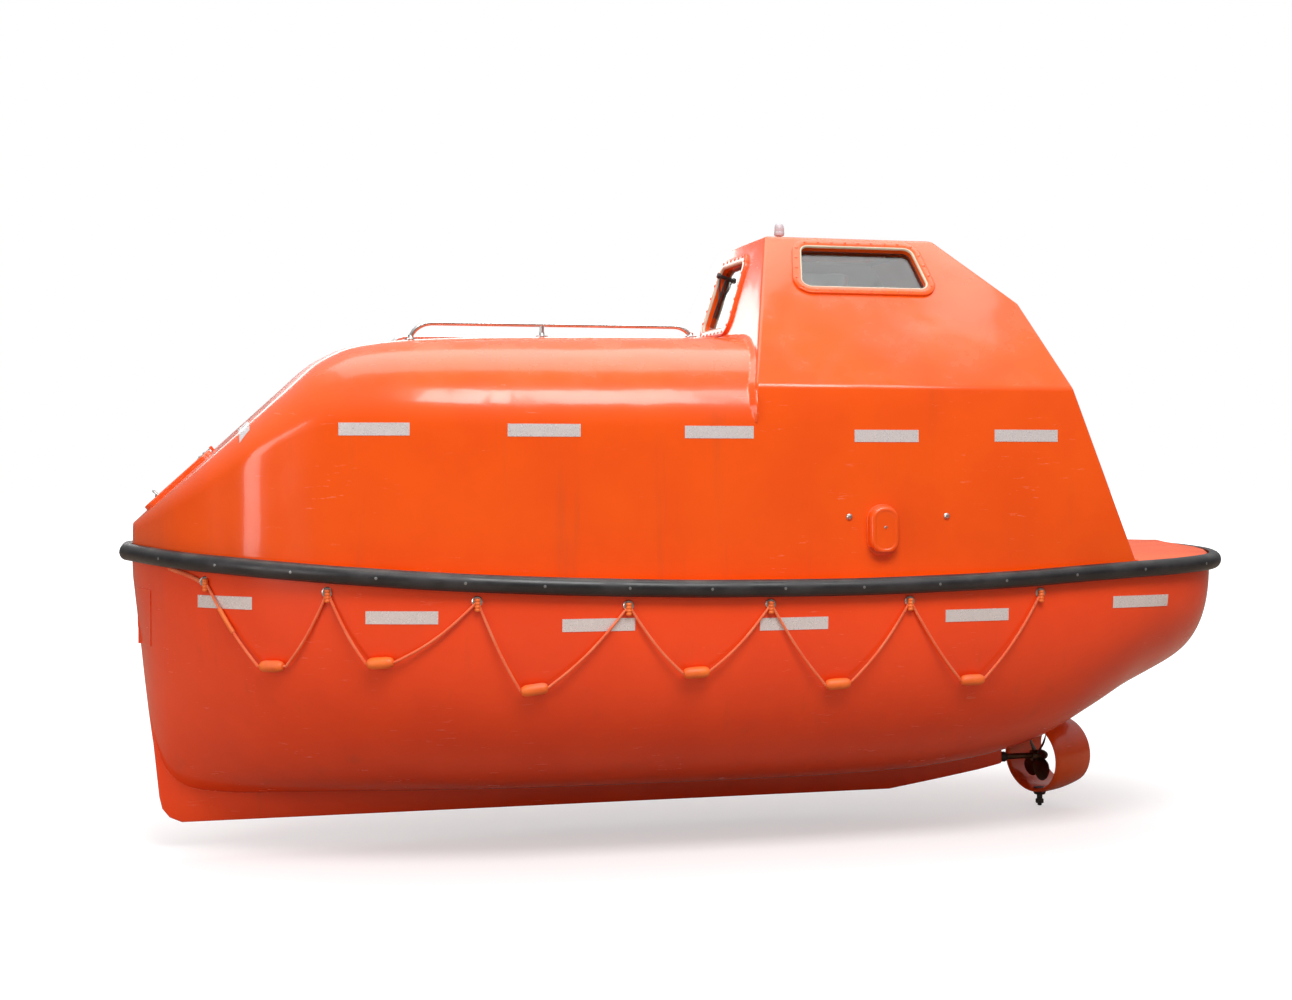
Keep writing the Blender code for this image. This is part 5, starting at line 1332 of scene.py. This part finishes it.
def make_handrails():
    """Stainless tube rails, each on two flanged feet and a flanged post."""
    for side, word in SIDES:
        y = side * RAIL_SIDE
        grids = [bent_tube([(x, y, level(z)) for x, z in RAIL_PATH], RAIL_RADIUS, 0.008, 18)]
        for x in (RAIL_PATH[0][0], RAIL_POST_X, RAIL_PATH[-1][0]):
            skin = level(float(canopy_top(x, y)))
            flange = [(0.0005, 0.0), (0.0005, 0.026), (0.0035, 0.026), (0.0050, 0.024), (0.0055, 0.014),
                      (0.0090, 0.0115), (0.0200, 0.0105), (0.0200, 0.0)]
            grids.append(turned(flange, (x, y, skin), UP, 28))
        foot = level(float(canopy_top(RAIL_POST_X, y)))
        grids.append(rod((RAIL_POST_X, y, foot + 0.001), (RAIL_POST_X, y, level(2.081)), 0.0088))
        add_many("tube_rail_" + word, grids, "stainless_steel", slot=True, nodes=["handrail_" + word])


# Stern gear
STOCK_X = 1.67
SHAFT_LEVEL = 0.12 - DRAUGHT
HELM_ANGLE = math.radians(22.0)
NOZZLE_TILT = math.radians(-4.0)
# Columns of the nozzle's section: place aft, radius. Columns of its pins: height, radius
NOZZLE_PROFILE = [(-0.0650, 0.1590), (-0.0600, 0.1630), (-0.0480, 0.1680), (-0.0300, 0.1705),
                  (0.0150, 0.1718), (0.0600, 0.1716), (0.1200, 0.1665), (0.1750, 0.1580),
                  (0.1755, 0.1555), (0.1750, 0.1525), (0.1200, 0.1520), (0.0600, 0.1518),
                  (-0.0300, 0.1520), (-0.0500, 0.1532), (-0.0600, 0.1552), (-0.0640, 0.1570)]
STOCK_PROFILE = [(0.158, 0.0), (0.158, 0.034), (0.169, 0.034), (0.1697, 0.032), (0.17, 0.019),
                 (0.182, 0.019), (0.182, 0.0)]
PIN_PROFILE = [(-0.150, 0.0), (-0.150, 0.028), (-0.160, 0.030), (-0.176, 0.029), (-0.184, 0.025),
               (-0.1855, 0.0135), (-0.205, 0.013), (-0.206, 0.0175), (-0.208, 0.019), (-0.224, 0.019),
               (-0.226, 0.0175), (-0.2268, 0.010), (-0.236, 0.010), (-0.237, 0.009), (-0.237, 0.0)]
PROP_X = 1.655
HUB_PROFILE = [(-0.1545, 0.0), (-0.1545, 0.0135), (-0.029, 0.0135), (-0.0285, 0.0250), (-0.0270, 0.026),
               (0.024, 0.026), (0.032, 0.0245), (0.040, 0.021), (0.047, 0.0165), (0.052, 0.012),
               (0.055, 0.007), (0.056, 0.0)]
# Blade sections. Columns: radius, chord, thickness, pitch in degrees
BLADE_SECTIONS = [(0.016, 0.038, 0.0100, 60.0), (0.030, 0.050, 0.0088, 53.0), (0.050, 0.066, 0.0070, 45.0),
                  (0.085, 0.084, 0.0050, 34.0), (0.110, 0.080, 0.0042, 29.0), (0.128, 0.060, 0.0034, 25.0),
                  (0.1375, 0.026, 0.0022, 23.5)]
BLADE_COUNT = 4


def make_nozzle():
    """Steering nozzle, a ring of wing section, with its stock above and its foot pin below."""
    profile = curve_through(NOZZLE_PROFILE, 0.005, closed=True)
    ring = turned(profile, (0.0, 0.0, 0.0), AFT, 120)
    spin = np.array(Matrix.Rotation(HELM_ANGLE, 3, "Z"))
    centre = np.array([STOCK_X, 0.0, SHAFT_LEVEL])
    tilt = spin @ np.array(Matrix.Rotation(NOZZLE_TILT, 3, "Y"))
    add_ring("nozzle_ring", ring @ tilt.T + centre, "canopy_gelcoat", body="nozzle", sharp=45.0, slot=True,
             nodes=["steering_nozzle"])
    pins = [turned(profile, centre, UP, 32) for profile in (STOCK_PROFILE, PIN_PROFILE)]
    add_many("nozzle_pins", pins, "dark_iron", body="nozzle", slot=True)


def blade_grid(turn):
    """Closed rings of one blade: wing sections pitched about its radius and curved round the hub.

    A section's outline is half its chord times cos(a) along it, and half its thickness times sin(a)
    times 1 - cos(a)/4 across it, which is fuller at the leading edge.
    """
    radius = 0.016 + (0.1375 - 0.016) * np.sin(np.linspace(0.0, 0.5 * math.pi, 16))
    chord, thick, pitch = smooth_rows(BLADE_SECTIONS, radius).T[:, :, None]
    pitch = np.radians(pitch)
    a = np.linspace(0.0, 2.0 * math.pi, 24, endpoint=False)[None, :]
    along = 0.5 * chord * np.cos(a)
    over = 0.5 * thick * np.sin(a) * (1.0 - 0.25 * np.cos(a))
    across = along * np.cos(pitch) - over * np.sin(pitch)
    forward = along * np.sin(pitch) + over * np.cos(pitch)
    place = turn + across / np.maximum(radius[:, None], 0.03)
    r = radius[:, None]
    return np.stack([PROP_X + forward, r * np.sin(place), SHAFT_LEVEL + r * np.cos(place)], axis=-1)


def make_propeller():
    """Bronze propeller with its blades at 45 degrees as it lies."""
    grids = [turned(HUB_PROFILE, (PROP_X, 0.0, SHAFT_LEVEL), AFT, 40)]
    for k in range(BLADE_COUNT):
        grids.append(blade_grid(math.radians(45.0 + 360.0 * k / BLADE_COUNT)))
    add_many("bladed_propeller", grids, "dark_bronze", body="screw", sharp=45.0, slot=True,
             nodes=["propeller"])


# Roof lamp: its base and post, its head, and its dome. Columns: height, radius
LAMP_X = 0.378
LAMP_POST = [(0.0003, 0.0), (0.0003, 0.028), (0.010, 0.028), (0.012, 0.026), (0.0135, 0.012),
             (0.048, 0.012), (0.048, 0.0)]
LAMP_HEAD = [(0.0470, 0.0), (0.0475, 0.0175), (0.0500, 0.0215), (0.0540, 0.0230), (0.0640, 0.0240),
             (0.0660, 0.0232), (0.0670, 0.0220), (0.0670, 0.0)]
LAMP_DOME = [(0.0665, 0.0), (0.0665, 0.0222), (0.0760, 0.0230), (0.0860, 0.0225), (0.0950, 0.0200),
             (0.1020, 0.0160), (0.1060, 0.0100), (0.1080, 0.0)]


def make_lamp():
    """Roof lamp on a flanged post, with a frosted dome."""
    foot = (LAMP_X, 0.0, level(ROOF))
    post, *grids = [turned(profile, foot, UP, 36) for profile in (LAMP_POST, LAMP_HEAD, LAMP_DOME)]
    add_many("lamp_post", [post], "stainless_steel", slot=True, nodes=["roof_lamp"])
    add_many("lamp_head", grids, "lamp_housing", slot=True)


# Windscreen wiper in the plane of the front wall: X to port, Y up the slope
GLASS_FACE = -0.0185
WIPER_SPINDLE = (-0.160, 0.565)
WIPER_ARM = [(-0.160, 0.565, 0.0090), (-0.155, 0.545, 0.0085), (-0.148, 0.520, 0.0050),
             (-0.143, 0.488, -0.0040), (-0.140, 0.460, -0.0085)]
WIPER_BLADE = [(-0.155, 0.370), (-0.128, 0.550)]


def make_wiper():
    """Hand wiper: spindle with a knob, bent arm, and a blade with its rubber edge on the glass."""
    wall = front_wall()
    spindle = [(GLASS_FACE + 0.0003, 0.0), (GLASS_FACE + 0.0003, 0.009), (0.012, 0.009), (0.0130, 0.0125),
               (0.0150, 0.014), (0.0250, 0.013), (0.0280, 0.010), (0.0280, 0.0)]
    grids = [turned(spindle, wall.at(*WIPER_SPINDLE, 0.0), wall.out, 24)]
    grids.append(bent_tube([wall.at(*point) for point in WIPER_ARM], 0.0038, 0.004, 12))
    for away, radius in ((0.0075, 0.0036), (0.0035, 0.0026)):
        grids.append(rod(*(wall.at(u, v, GLASS_FACE + away) for u, v in WIPER_BLADE), radius))
    add_many("windscreen_wiper", grids, "dark_iron", slot=True, nodes=["screen_wiper"])


# Tape strips. Columns: from x, to x, height of the middle
HULL_TAPES = [(-2.188, -1.986, 0.961), (-1.570, -1.302, 0.914), (-0.829, -0.542, 0.877),
              (-0.034, 0.252, 0.865), (0.764, 1.051, 0.880), (1.548, 1.831, 0.917)]
CANOPY_TAPES = [(-1.663, -1.396, 1.637), (-1.022, -0.732, 1.634), (-0.308, -0.021, 1.629),
                (0.410, 0.690, 1.616), (1.029, 1.316, 1.619)]
# The same strips to starboard, where two of them make room for the boarding door
STARBOARD_TAPES = [CANOPY_TAPES[0], (-1.270, -1.003, 1.634), (-0.226, 0.061, 1.629), *CANOPY_TAPES[3:]]
TAPE_HALF = 0.025
SLOPE_TAPE = (-2.030, -1.992, 0.310, 0.610)    # from x, to x, from the centreline, to the side
STEM_PATCH = (-2.426, -2.372, 0.755, 0.990)    # from x, to x, from height, to height


def skin_strip(x, y, z, lift=0.0014):
    """Closed thin strip over a grid of places on a skin, standing a hair off it."""
    points = np.stack([x, y, level(z)], axis=-1)
    out = unit(np.cross(np.gradient(points, axis=0), np.gradient(points, axis=1)))
    out *= np.where((out[..., 1:2] * points[..., 1:2] < 0.0), -1.0, 1.0)
    outer = points + out * lift
    inner = points + out * 0.0004
    return np.concatenate([inner[:, :1], outer, inner[:, -1:], inner[:, ::-1][:, 1:-1]], axis=1)


def canopy_side(x, z):
    """Half-width of the canopy's skin at places and heights, also abreast of the cab."""
    rows = smooth_rows(CANOPY_STATIONS, np.clip(x.ravel(), -2.44, 0.12))
    half, crown, run_in, run_down = rows.T.reshape(4, *x.shape)
    above = np.clip((z - (crown - CROWN_CAMBER - run_down)) / run_down, 0.0, 1.0)
    return np.where(x > 0.0, SIDE_HALF, half - run_in + run_in * np.sqrt(1.0 - above ** 2))


def make_tapes():
    """Silver tape strips along the hull, the canopy and the bow slope, and the plate on the stem."""
    grids, patches = [], []
    for side, _ in SIDES:
        on_canopy = CANOPY_TAPES if side < 0 else STARBOARD_TAPES
        for table, skin in ((HULL_TAPES, hull_half), (on_canopy, canopy_side)):
            for start, end, height in table:
                x, z = np.meshgrid(np.linspace(start, end, 24),
                                   height + TAPE_HALF * np.linspace(-1.0, 1.0, 6), indexing="ij")
                grids.append(skin_strip(x, side * skin(x, z), z))
        start, end, near, far = SLOPE_TAPE
        x, y = np.meshgrid(np.linspace(start, end, 6), side * np.linspace(near, far, 24), indexing="ij")
        grids.append(skin_strip(x, y, canopy_top(x, y)))
        start, end, low, high = STEM_PATCH
        x, z = np.meshgrid(np.linspace(start, end, 8), np.linspace(low, high, 16), indexing="ij")
        patches.append(skin_strip(x, side * np.maximum(hull_half(x, z), KEEL_HALF), z, 0.003))
    add_many("stem_plates", patches, "hull_gelcoat", sharp=50.0)
    add_many("tape_strips", grids, "reflective_tape", sharp=50.0)


# Grab lines. Eyes: x, height. Floats: x, height, tilt in degrees
LINE_EYES = [(-2.161, 1.040), (-1.711, 1.010), (-1.157, 0.975), (-0.570, 0.950), (0.008, 0.945),
             (0.602, 0.945), (1.196, 0.965)]
LINE_FLOATS = [(-1.912, 0.716, 2.0), (-1.515, 0.739, 4.0), (-0.932, 0.629, 8.0), (-0.295, 0.681, 3.0),
               (0.300, 0.616, 3.0), (0.896, 0.611, 1.0)]
LINE_SAG = 0.022
ROPE_RADIUS = 0.006
FLOAT_RADIUS = 0.023
FLOAT_HALF = 0.052
LINE_AWAY = 0.004
# First half of a float. Columns: place along the rope, radius
FLOAT_END = [(-0.0520, 0.0), (-0.0520, 0.0105), (-0.0505, 0.0135), (-0.0470, 0.0170), (-0.0400, 0.0204),
             (-0.0280, 0.0225), (-0.0100, 0.0230)]
FLOAT_SECTION = np.vstack([FLOAT_END, np.array(FLOAT_END[::-1]) * (-1.0, 1.0)])
EYE_FOOT = [(-0.012, 0.0), (-0.012, 0.021), (0.0050, 0.021), (0.0068, 0.0185), (0.0070, 0.0)]
BOW_STRAP = [(-2.300, 1.086), (-2.255, 1.072), (-2.210, 1.056), (-2.172, 1.036)]
SLEEVE_SHARE = (0.30, 0.62)      # part of the first leg that the chafe sleeve covers


def beside_hull(x, z, away, side):
    """Points beside the hull, clear of its skin by a distance."""
    x, z, away = np.broadcast_arrays(np.asarray(x, float), z, away)
    return np.stack([x, side * (hull_half(x, z) + away), level(z)], axis=-1)


def line_leg(start, end, side):
    """One leg: nearly straight, with the sag times sin(pi times the share) below the chord."""
    share = np.linspace(0.0, 1.0, 16)
    x = start[0] + (end[0] - start[0]) * share
    z = start[1] + (end[1] - start[1]) * share - LINE_SAG * np.sin(math.pi * share)
    lift = np.clip(share if start in LINE_EYES else 1.0 - share, 0.0, 1.0)
    return beside_hull(x, z, LINE_AWAY + ROPE_RADIUS + lift * (FLOAT_RADIUS - ROPE_RADIUS), side)


def make_grab_lines():
    """Laid rope of three strands from eye to eye, with a seizing at each eye and a float in each bight."""
    for side, word in SIDES:
        pieces, floats = [], []
        for k, (fx, fz, tilt) in enumerate(LINE_FLOATS):
            rise = FLOAT_HALF * math.tan(math.radians(tilt))
            fore, aft = (fx - FLOAT_HALF, fz - rise), (fx + FLOAT_HALF, fz + rise)
            down = line_leg(LINE_EYES[k], fore, side)
            up = line_leg(aft, LINE_EYES[k + 1], side)
            pieces += [down, up]
            ends = beside_hull([fore[0], aft[0]], np.array([fore[1], aft[1]]), LINE_AWAY + FLOAT_RADIUS, side)
            floats.append(turned(FLOAT_SECTION, ends.mean(axis=0), ends[1] - ends[0], 32))
            if k == 0:
                first, last = (int(share * len(down)) for share in SLEEVE_SHARE)
                sleeve = evenly(down[first:last], 0.006)
                floats.append(swept(sleeve, circle(0.0088, 14), (0.0, 0.3, 1.0)))
        path = evenly(np.vstack(pieces), 0.004)
        rope = twisted_rope(path, ROPE_RADIUS, 0.030)
        x, z = np.array(BOW_STRAP).T
        strap = evenly(beside_hull(x, z, LINE_AWAY + 0.008, side), 0.004)
        rope += twisted_rope(strap, 0.0095, 0.034)
        add_many("grab_rope_" + word, rope, "orange_rope", sharp=80.0, nodes=["grab_line_" + word])
        add_many("line_floats_" + word, floats, "float_foam", slot="orange_rope", sharp=40.0)
        feet, knots = [], []
        for x, z in LINE_EYES:
            skin = beside_hull(x, z, 0.0, side)
            feet.append(turned(EYE_FOOT, skin, (0.0, side, 0.0), 24))
            turn = np.linspace(0.0, 1.0, 33)
            bumps = 0.0088 + 0.0026 * np.abs(np.sin(4.0 * math.pi * turn))
            profile = np.stack([-0.012 + 0.050 * turn, bumps], axis=1)
            top = beside_hull(x, z, 0.0135, side)
            low = beside_hull(x, z - 0.040, 0.0135, side)
            knots.append(turned(np.vstack([[profile[0, 0], 0.0], profile, [profile[-1, 0], 0.0]]), top,
                                low - top, 20))
        add_many("line_eye_feet_" + word, feet, "stainless_steel", slot=True)
        add_many("line_seizings_" + word, knots, "float_foam", slot="orange_rope", sharp=70.0)


def twisted_rope(path, radius, pitch, strands=3, sides=7):
    """Strands that wind round a path: each is a tube whose centre turns once in every pitch."""
    along = tangents(path)
    side = unit(np.cross(along, (0.0, 0.3, 1.0)))
    up = np.cross(side, along)
    run = np.concatenate([[0.0], np.cumsum(np.linalg.norm(np.diff(path, axis=0), axis=1))])
    thick = radius / (1.0 + 2.0 / math.sqrt(3.0)) * 1.08
    wind = radius - thick
    grids = []
    for k in range(strands):
        angle = 2.0 * math.pi * (run / pitch + k / strands)
        centre = path + wind * (np.cos(angle)[:, None] * side + np.sin(angle)[:, None] * up)
        grids.append(swept(centre, circle(thick, sides), (0.0, 0.3, 1.0)))
    return grids


# Inside the boat

WHEEL_PLACE = (0.375, 0.0, level(1.52))
WHEEL_RADIUS = 0.165
WHEEL_GRIP = 0.011
DIALS = [(-0.150, 0.032), (0.000, 0.040), (0.150, 0.032)]    # place across, radius


def make_wheel():
    """Helm wheel: thick rim, hub and three spokes."""
    centre = np.array(WHEEL_PLACE)
    rim = circle(WHEEL_GRIP, 16) + (0.0, WHEEL_RADIUS)
    add_ring("wheel_rim", turned(rim, centre, AFT, 72), "black_rubber", body="wheel",
             nodes=["helm_wheel"])
    hub = [(-0.042, 0.0), (-0.042, 0.018), (-0.020, 0.022), (-0.012, 0.026), (0.006, 0.026), (0.012, 0.023),
           (0.014, 0.018), (0.014, 0.0)]
    grids = [turned(hub, centre, AFT, 32)]
    for k in range(3):
        angle = math.radians(90.0 + 120.0 * k)
        tip = centre + (WHEEL_RADIUS - 0.004) * np.array([0.0, math.cos(angle), math.sin(angle)])
        grids.append(rod(centre, tip, 0.007))
    add_many("wheel_hub", grids, "stainless_steel", body="wheel", slot=True)


def pillow(centre, sizes, lean, flat=0.45, square=0.30):
    """Stuffed cushion: a superellipsoid.

    Its half sizes are multiplied by cos(b)^flat cos(a)^square, cos(b)^flat sin(a)^square and
    sin(b)^flat, each power keeping its sign; lean turns it about Y.
    """
    b = np.linspace(-0.4995 * math.pi, 0.4995 * math.pi, 30)[:, None]
    a = np.linspace(0.0, 2.0 * math.pi, 64, endpoint=False)[None, :]

    def power(value, exponent):
        return np.sign(value) * np.abs(value) ** exponent

    ring = np.cos(b) ** flat
    x = sizes[0] * ring * power(np.cos(a), square)
    y = sizes[1] * ring * power(np.sin(a), square)
    z = sizes[2] * power(np.sin(b), flat) * np.ones_like(a)
    spin = np.array(Matrix.Rotation(lean, 3, "Y"))
    return np.stack([x, y, z], axis=-1) @ spin.T + np.asarray(centre, float)


def make_seat():
    """Helm seat: a moulded pan with a stuffed cushion and a low stuffed back."""
    wall = Wall((0.815, 0.0, level(1.3003)), AFT, UP)
    pan = layered(wall, rounded_corners(tapered(0.21, 0.22, 0.0), 0.04, 8), soft_layers(0.0, 0.034, 0.010))
    add_many("seat_pan", [pan], "white_liner", slot=True, nodes=["helm_seat"])
    for name, centre, sizes, lean in (
            ("seat_cushion", (0.805, 0.0, level(1.369)), (0.195, 0.212, 0.037), 0.0),
            ("seat_back", (1.010, 0.0, level(1.445)), (0.026, 0.205, 0.072), math.radians(9.0))):
        add_many(name, [pillow(centre, sizes, lean)], "grey_seat", sharp=80.0, slot=True)


def make_dials():
    """Three dials with raised bezels on the sloping top of the console."""
    wall = Wall((0.290, 0.0, level(1.730)), STARBOARD, (0.14, 0.0, 0.10))
    grids = []
    for across, radius in DIALS:
        profile = [(-0.002, 0.0), (-0.002, radius), (0.008, radius), (0.012, radius - 0.004),
                   (0.008, radius - 0.009), (0.006, 0.0)]
        grids.append(turned(profile, wall.at(across, 0.0, 0.0), wall.out, 40))
    add_many("console_dials", grids, "dark_iron", slot=True)


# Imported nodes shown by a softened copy. Columns: node, finish, width of the rounding, body
SOFTENED = [
    ("aft_deck", "deck_gelcoat", 0.004, "boat"),
    ("aft_hook", "painted_hook", 0.004, "aft_release"),
    ("aft_hook_base", "painted_hook", 0.0025, "boat"),
    ("bow_coaming", "canopy_gelcoat", 0.0008, "boat"),
    ("engine_block", "dark_iron", 0.010, "boat"),
    ("engine_casing", "white_liner", 0.012, "boat"),
    ("fore_hook", "painted_hook", 0.003, "fore_release"),
    ("fore_hook_base", "painted_hook", 0.0020, "boat"),
    ("helm_console", "white_liner", 0.014, "boat"),
    ("stern_tube", "dark_iron", 0.0015, "boat"),
    ("stock_bearing", "dark_iron", 0.0020, "boat"),
]


def make_softened(node, finish, width, body):
    """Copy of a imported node, merged into whole faces, with its sharp edges rounded."""
    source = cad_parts[node]
    bm = merged(source.data)
    bm.transform(source.matrix_world)
    bmesh.ops.dissolve_limit(bm, angle_limit=math.radians(1.0), verts=bm.verts[:], edges=bm.edges[:])
    rounded(bm, width, 3, 35.0)
    mesh = bpy.data.meshes.new(node + "_rounded")
    written(bm, mesh)
    mesh.materials.append(FINISH[finish])
    shaded(mesh, 40.0)
    belongs(linked(node + "_rounded", mesh), finish, body, nodes=[node])


# Hook pins: x, height of the pin, half-length
HOOK_PINS = [(-2.160, 1.115 + 0.115 * 0.80, 0.036), (1.400, 1.080 + 0.115, 0.036)]


def make_hook_pins():
    """Pins of the lifting hooks with their nuts."""
    grids = []
    for x, height, half in HOOK_PINS:
        z = level(height)
        grids.append(rod((x, -half, z), (x, half, z), 0.011))
        for flip in (-1.0, 1.0):
            grids.append(turned([(0.0, 0.0), (0.0, 0.018), (0.008, 0.018), (0.010, 0.016), (0.010, 0.0)],
                                (x, flip * (half - 0.004), z), (0.0, flip, 0.0), 6))
    add_many("hook_pins", grids, "stainless_steel", slot=True)


# Studio

def make_stage():
    """Pale floor under the lowest point of the boat."""
    ground = CAD_BOX[0][2] - 0.002
    radius = np.array([0.0, 4.0, 12.0, 40.0, 90.0])
    ring = circle(1.0, 96)
    points = np.concatenate([radius[1:, None, None] * ring[None], np.full((4, 96, 1), ground)], axis=2)
    points = np.vstack([[0.0, 0.0, ground], points.reshape(-1, 3)])
    hub = [(0, 1 + k, 1 + (k + 1) % 96) for k in range(96)]
    rest = (1 + grid_faces(4, 96, wrap_columns=True)).tolist()
    add_mesh("studio_floor_sheet", points, hub + rest, "studio_floor", body=None, outward=False)


def add_softbox(name, place, target, wide, high, power, colour):
    """Rectangular soft light that faces a target and is seen only in reflections."""
    light = bpy.data.lights.new(name, "AREA")
    light.shape = "RECTANGLE"
    light.size, light.size_y = wide, high
    light.energy = power
    light.color = colour
    lamp = linked(name, light)
    lamp.location = place
    lamp.rotation_euler = (Vector(target) - Vector(place)).to_track_quat("-Z", "Y").to_euler()
    lamp.visible_camera = False


# Softboxes. Columns: name, place, target, width, height, power, colour
WHITE = (1.0, 1.0, 1.0)
SOFTBOXES = [("window_" + word, (x, -6.5, 7.2), (0.2, -0.6, 0.9), 1.35, 3.0, power, WHITE)
             for word, x, power in (("one", -2.05, 200.0), ("two", -0.45, 195.0), ("three", 1.15, 165.0),
                                    ("four", 2.75, 90.0))] + [
    ("overhead_softbox", (0.0, 0.8, 6.6), (0.0, 0.3, 1.0), 8.0, 4.0, 300.0, WHITE),
    ("bow_softbox", (-8.0, -4.6, 1.9), (-1.8, -0.4, 0.6), 2.6, 3.4, 150.0, (1.0, 0.97, 0.95)),
    ("back_softbox", (0.0, 7.5, 3.4), (0.0, 0.0, 1.4), 9.0, 1.2, 120.0, WHITE),
]
SKY_LEVELS = (0.16, 0.85)        # brightness of the air at the horizon and overhead
GROUND_LEVEL = 0.14


def make_lights():
    """White air behind the boat, dimmer air for reflections, and soft lights like a row of windows."""
    bpy.context.scene.view_settings.view_transform = "Standard"
    world = bpy.data.worlds.new("studio_air")
    bpy.context.scene.world = world
    world.use_nodes = True
    tree = world.node_tree
    tree.nodes.clear()
    nodes = Nodes(tree)
    height = nodes.add("SeparateXYZ", {0: nodes.add("TexCoord").outputs["Generated"]}).outputs["Z"]
    rise = nodes.remap(height, 0.0, 0.85, *SKY_LEVELS)
    below = nodes.remap(height, -0.25, 0.0, GROUND_LEVEL, SKY_LEVELS[0])
    under = nodes.math("LESS_THAN", height, 0.0)
    level_here = nodes.add("Mix", {0: under, 2: rise, 3: below}).outputs[0]
    seen = nodes.add("LightPath").outputs["Is Camera Ray"]
    strength = nodes.add("Mix", {0: seen, 2: level_here, 3: 1.0}).outputs[0]
    air = nodes.add("Background", {"Color": (1.0, 1.0, 1.0, 1.0), "Strength": strength})
    nodes.add("OutputWorld", {"Surface": air.outputs[0]})
    for row in SOFTBOXES:
        add_softbox(*row)


def make_camera():
    """Camera that took the photograph: level, at the height of a standing person's chest."""
    data = bpy.data.cameras.new("photo_camera")
    data.sensor_width = SENSOR
    data.sensor_fit = "HORIZONTAL"
    data.lens = FOCAL_PIXELS * SENSOR / PHOTO_WIDE
    data.shift_x = (0.5 * PHOTO_WIDE - AXIS_PIXEL[0]) / PHOTO_WIDE
    data.shift_y = (AXIS_PIXEL[1] - 0.5 * PHOTO_HIGH) / PHOTO_WIDE
    data.clip_end = 200.0
    camera = linked("photo_camera", data)
    camera.location = (EYE_PLACE[0], EYE_PLACE[1], level(EYE_HEIGHT))
    camera.rotation_euler = (math.radians(90.0), 0.0, -HEADING)
    bpy.context.scene.camera = camera


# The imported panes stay, and get their finish
for name, _, _ in window_places():
    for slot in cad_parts[name].material_slots:
        slot.material = FINISH["tinted_glass"]
for make in (make_camera, make_stage, make_lights, make_hull, make_canopy, make_cab_fillet, make_fender,
             make_windows, make_lids, make_vents, make_handrails, make_nozzle, make_propeller, make_lamp,
             make_wiper, make_tapes, make_grab_lines, make_wheel, make_seat, make_dials):
    make()
for row in SOFTENED:
    make_softened(*row)
make_hook_pins()
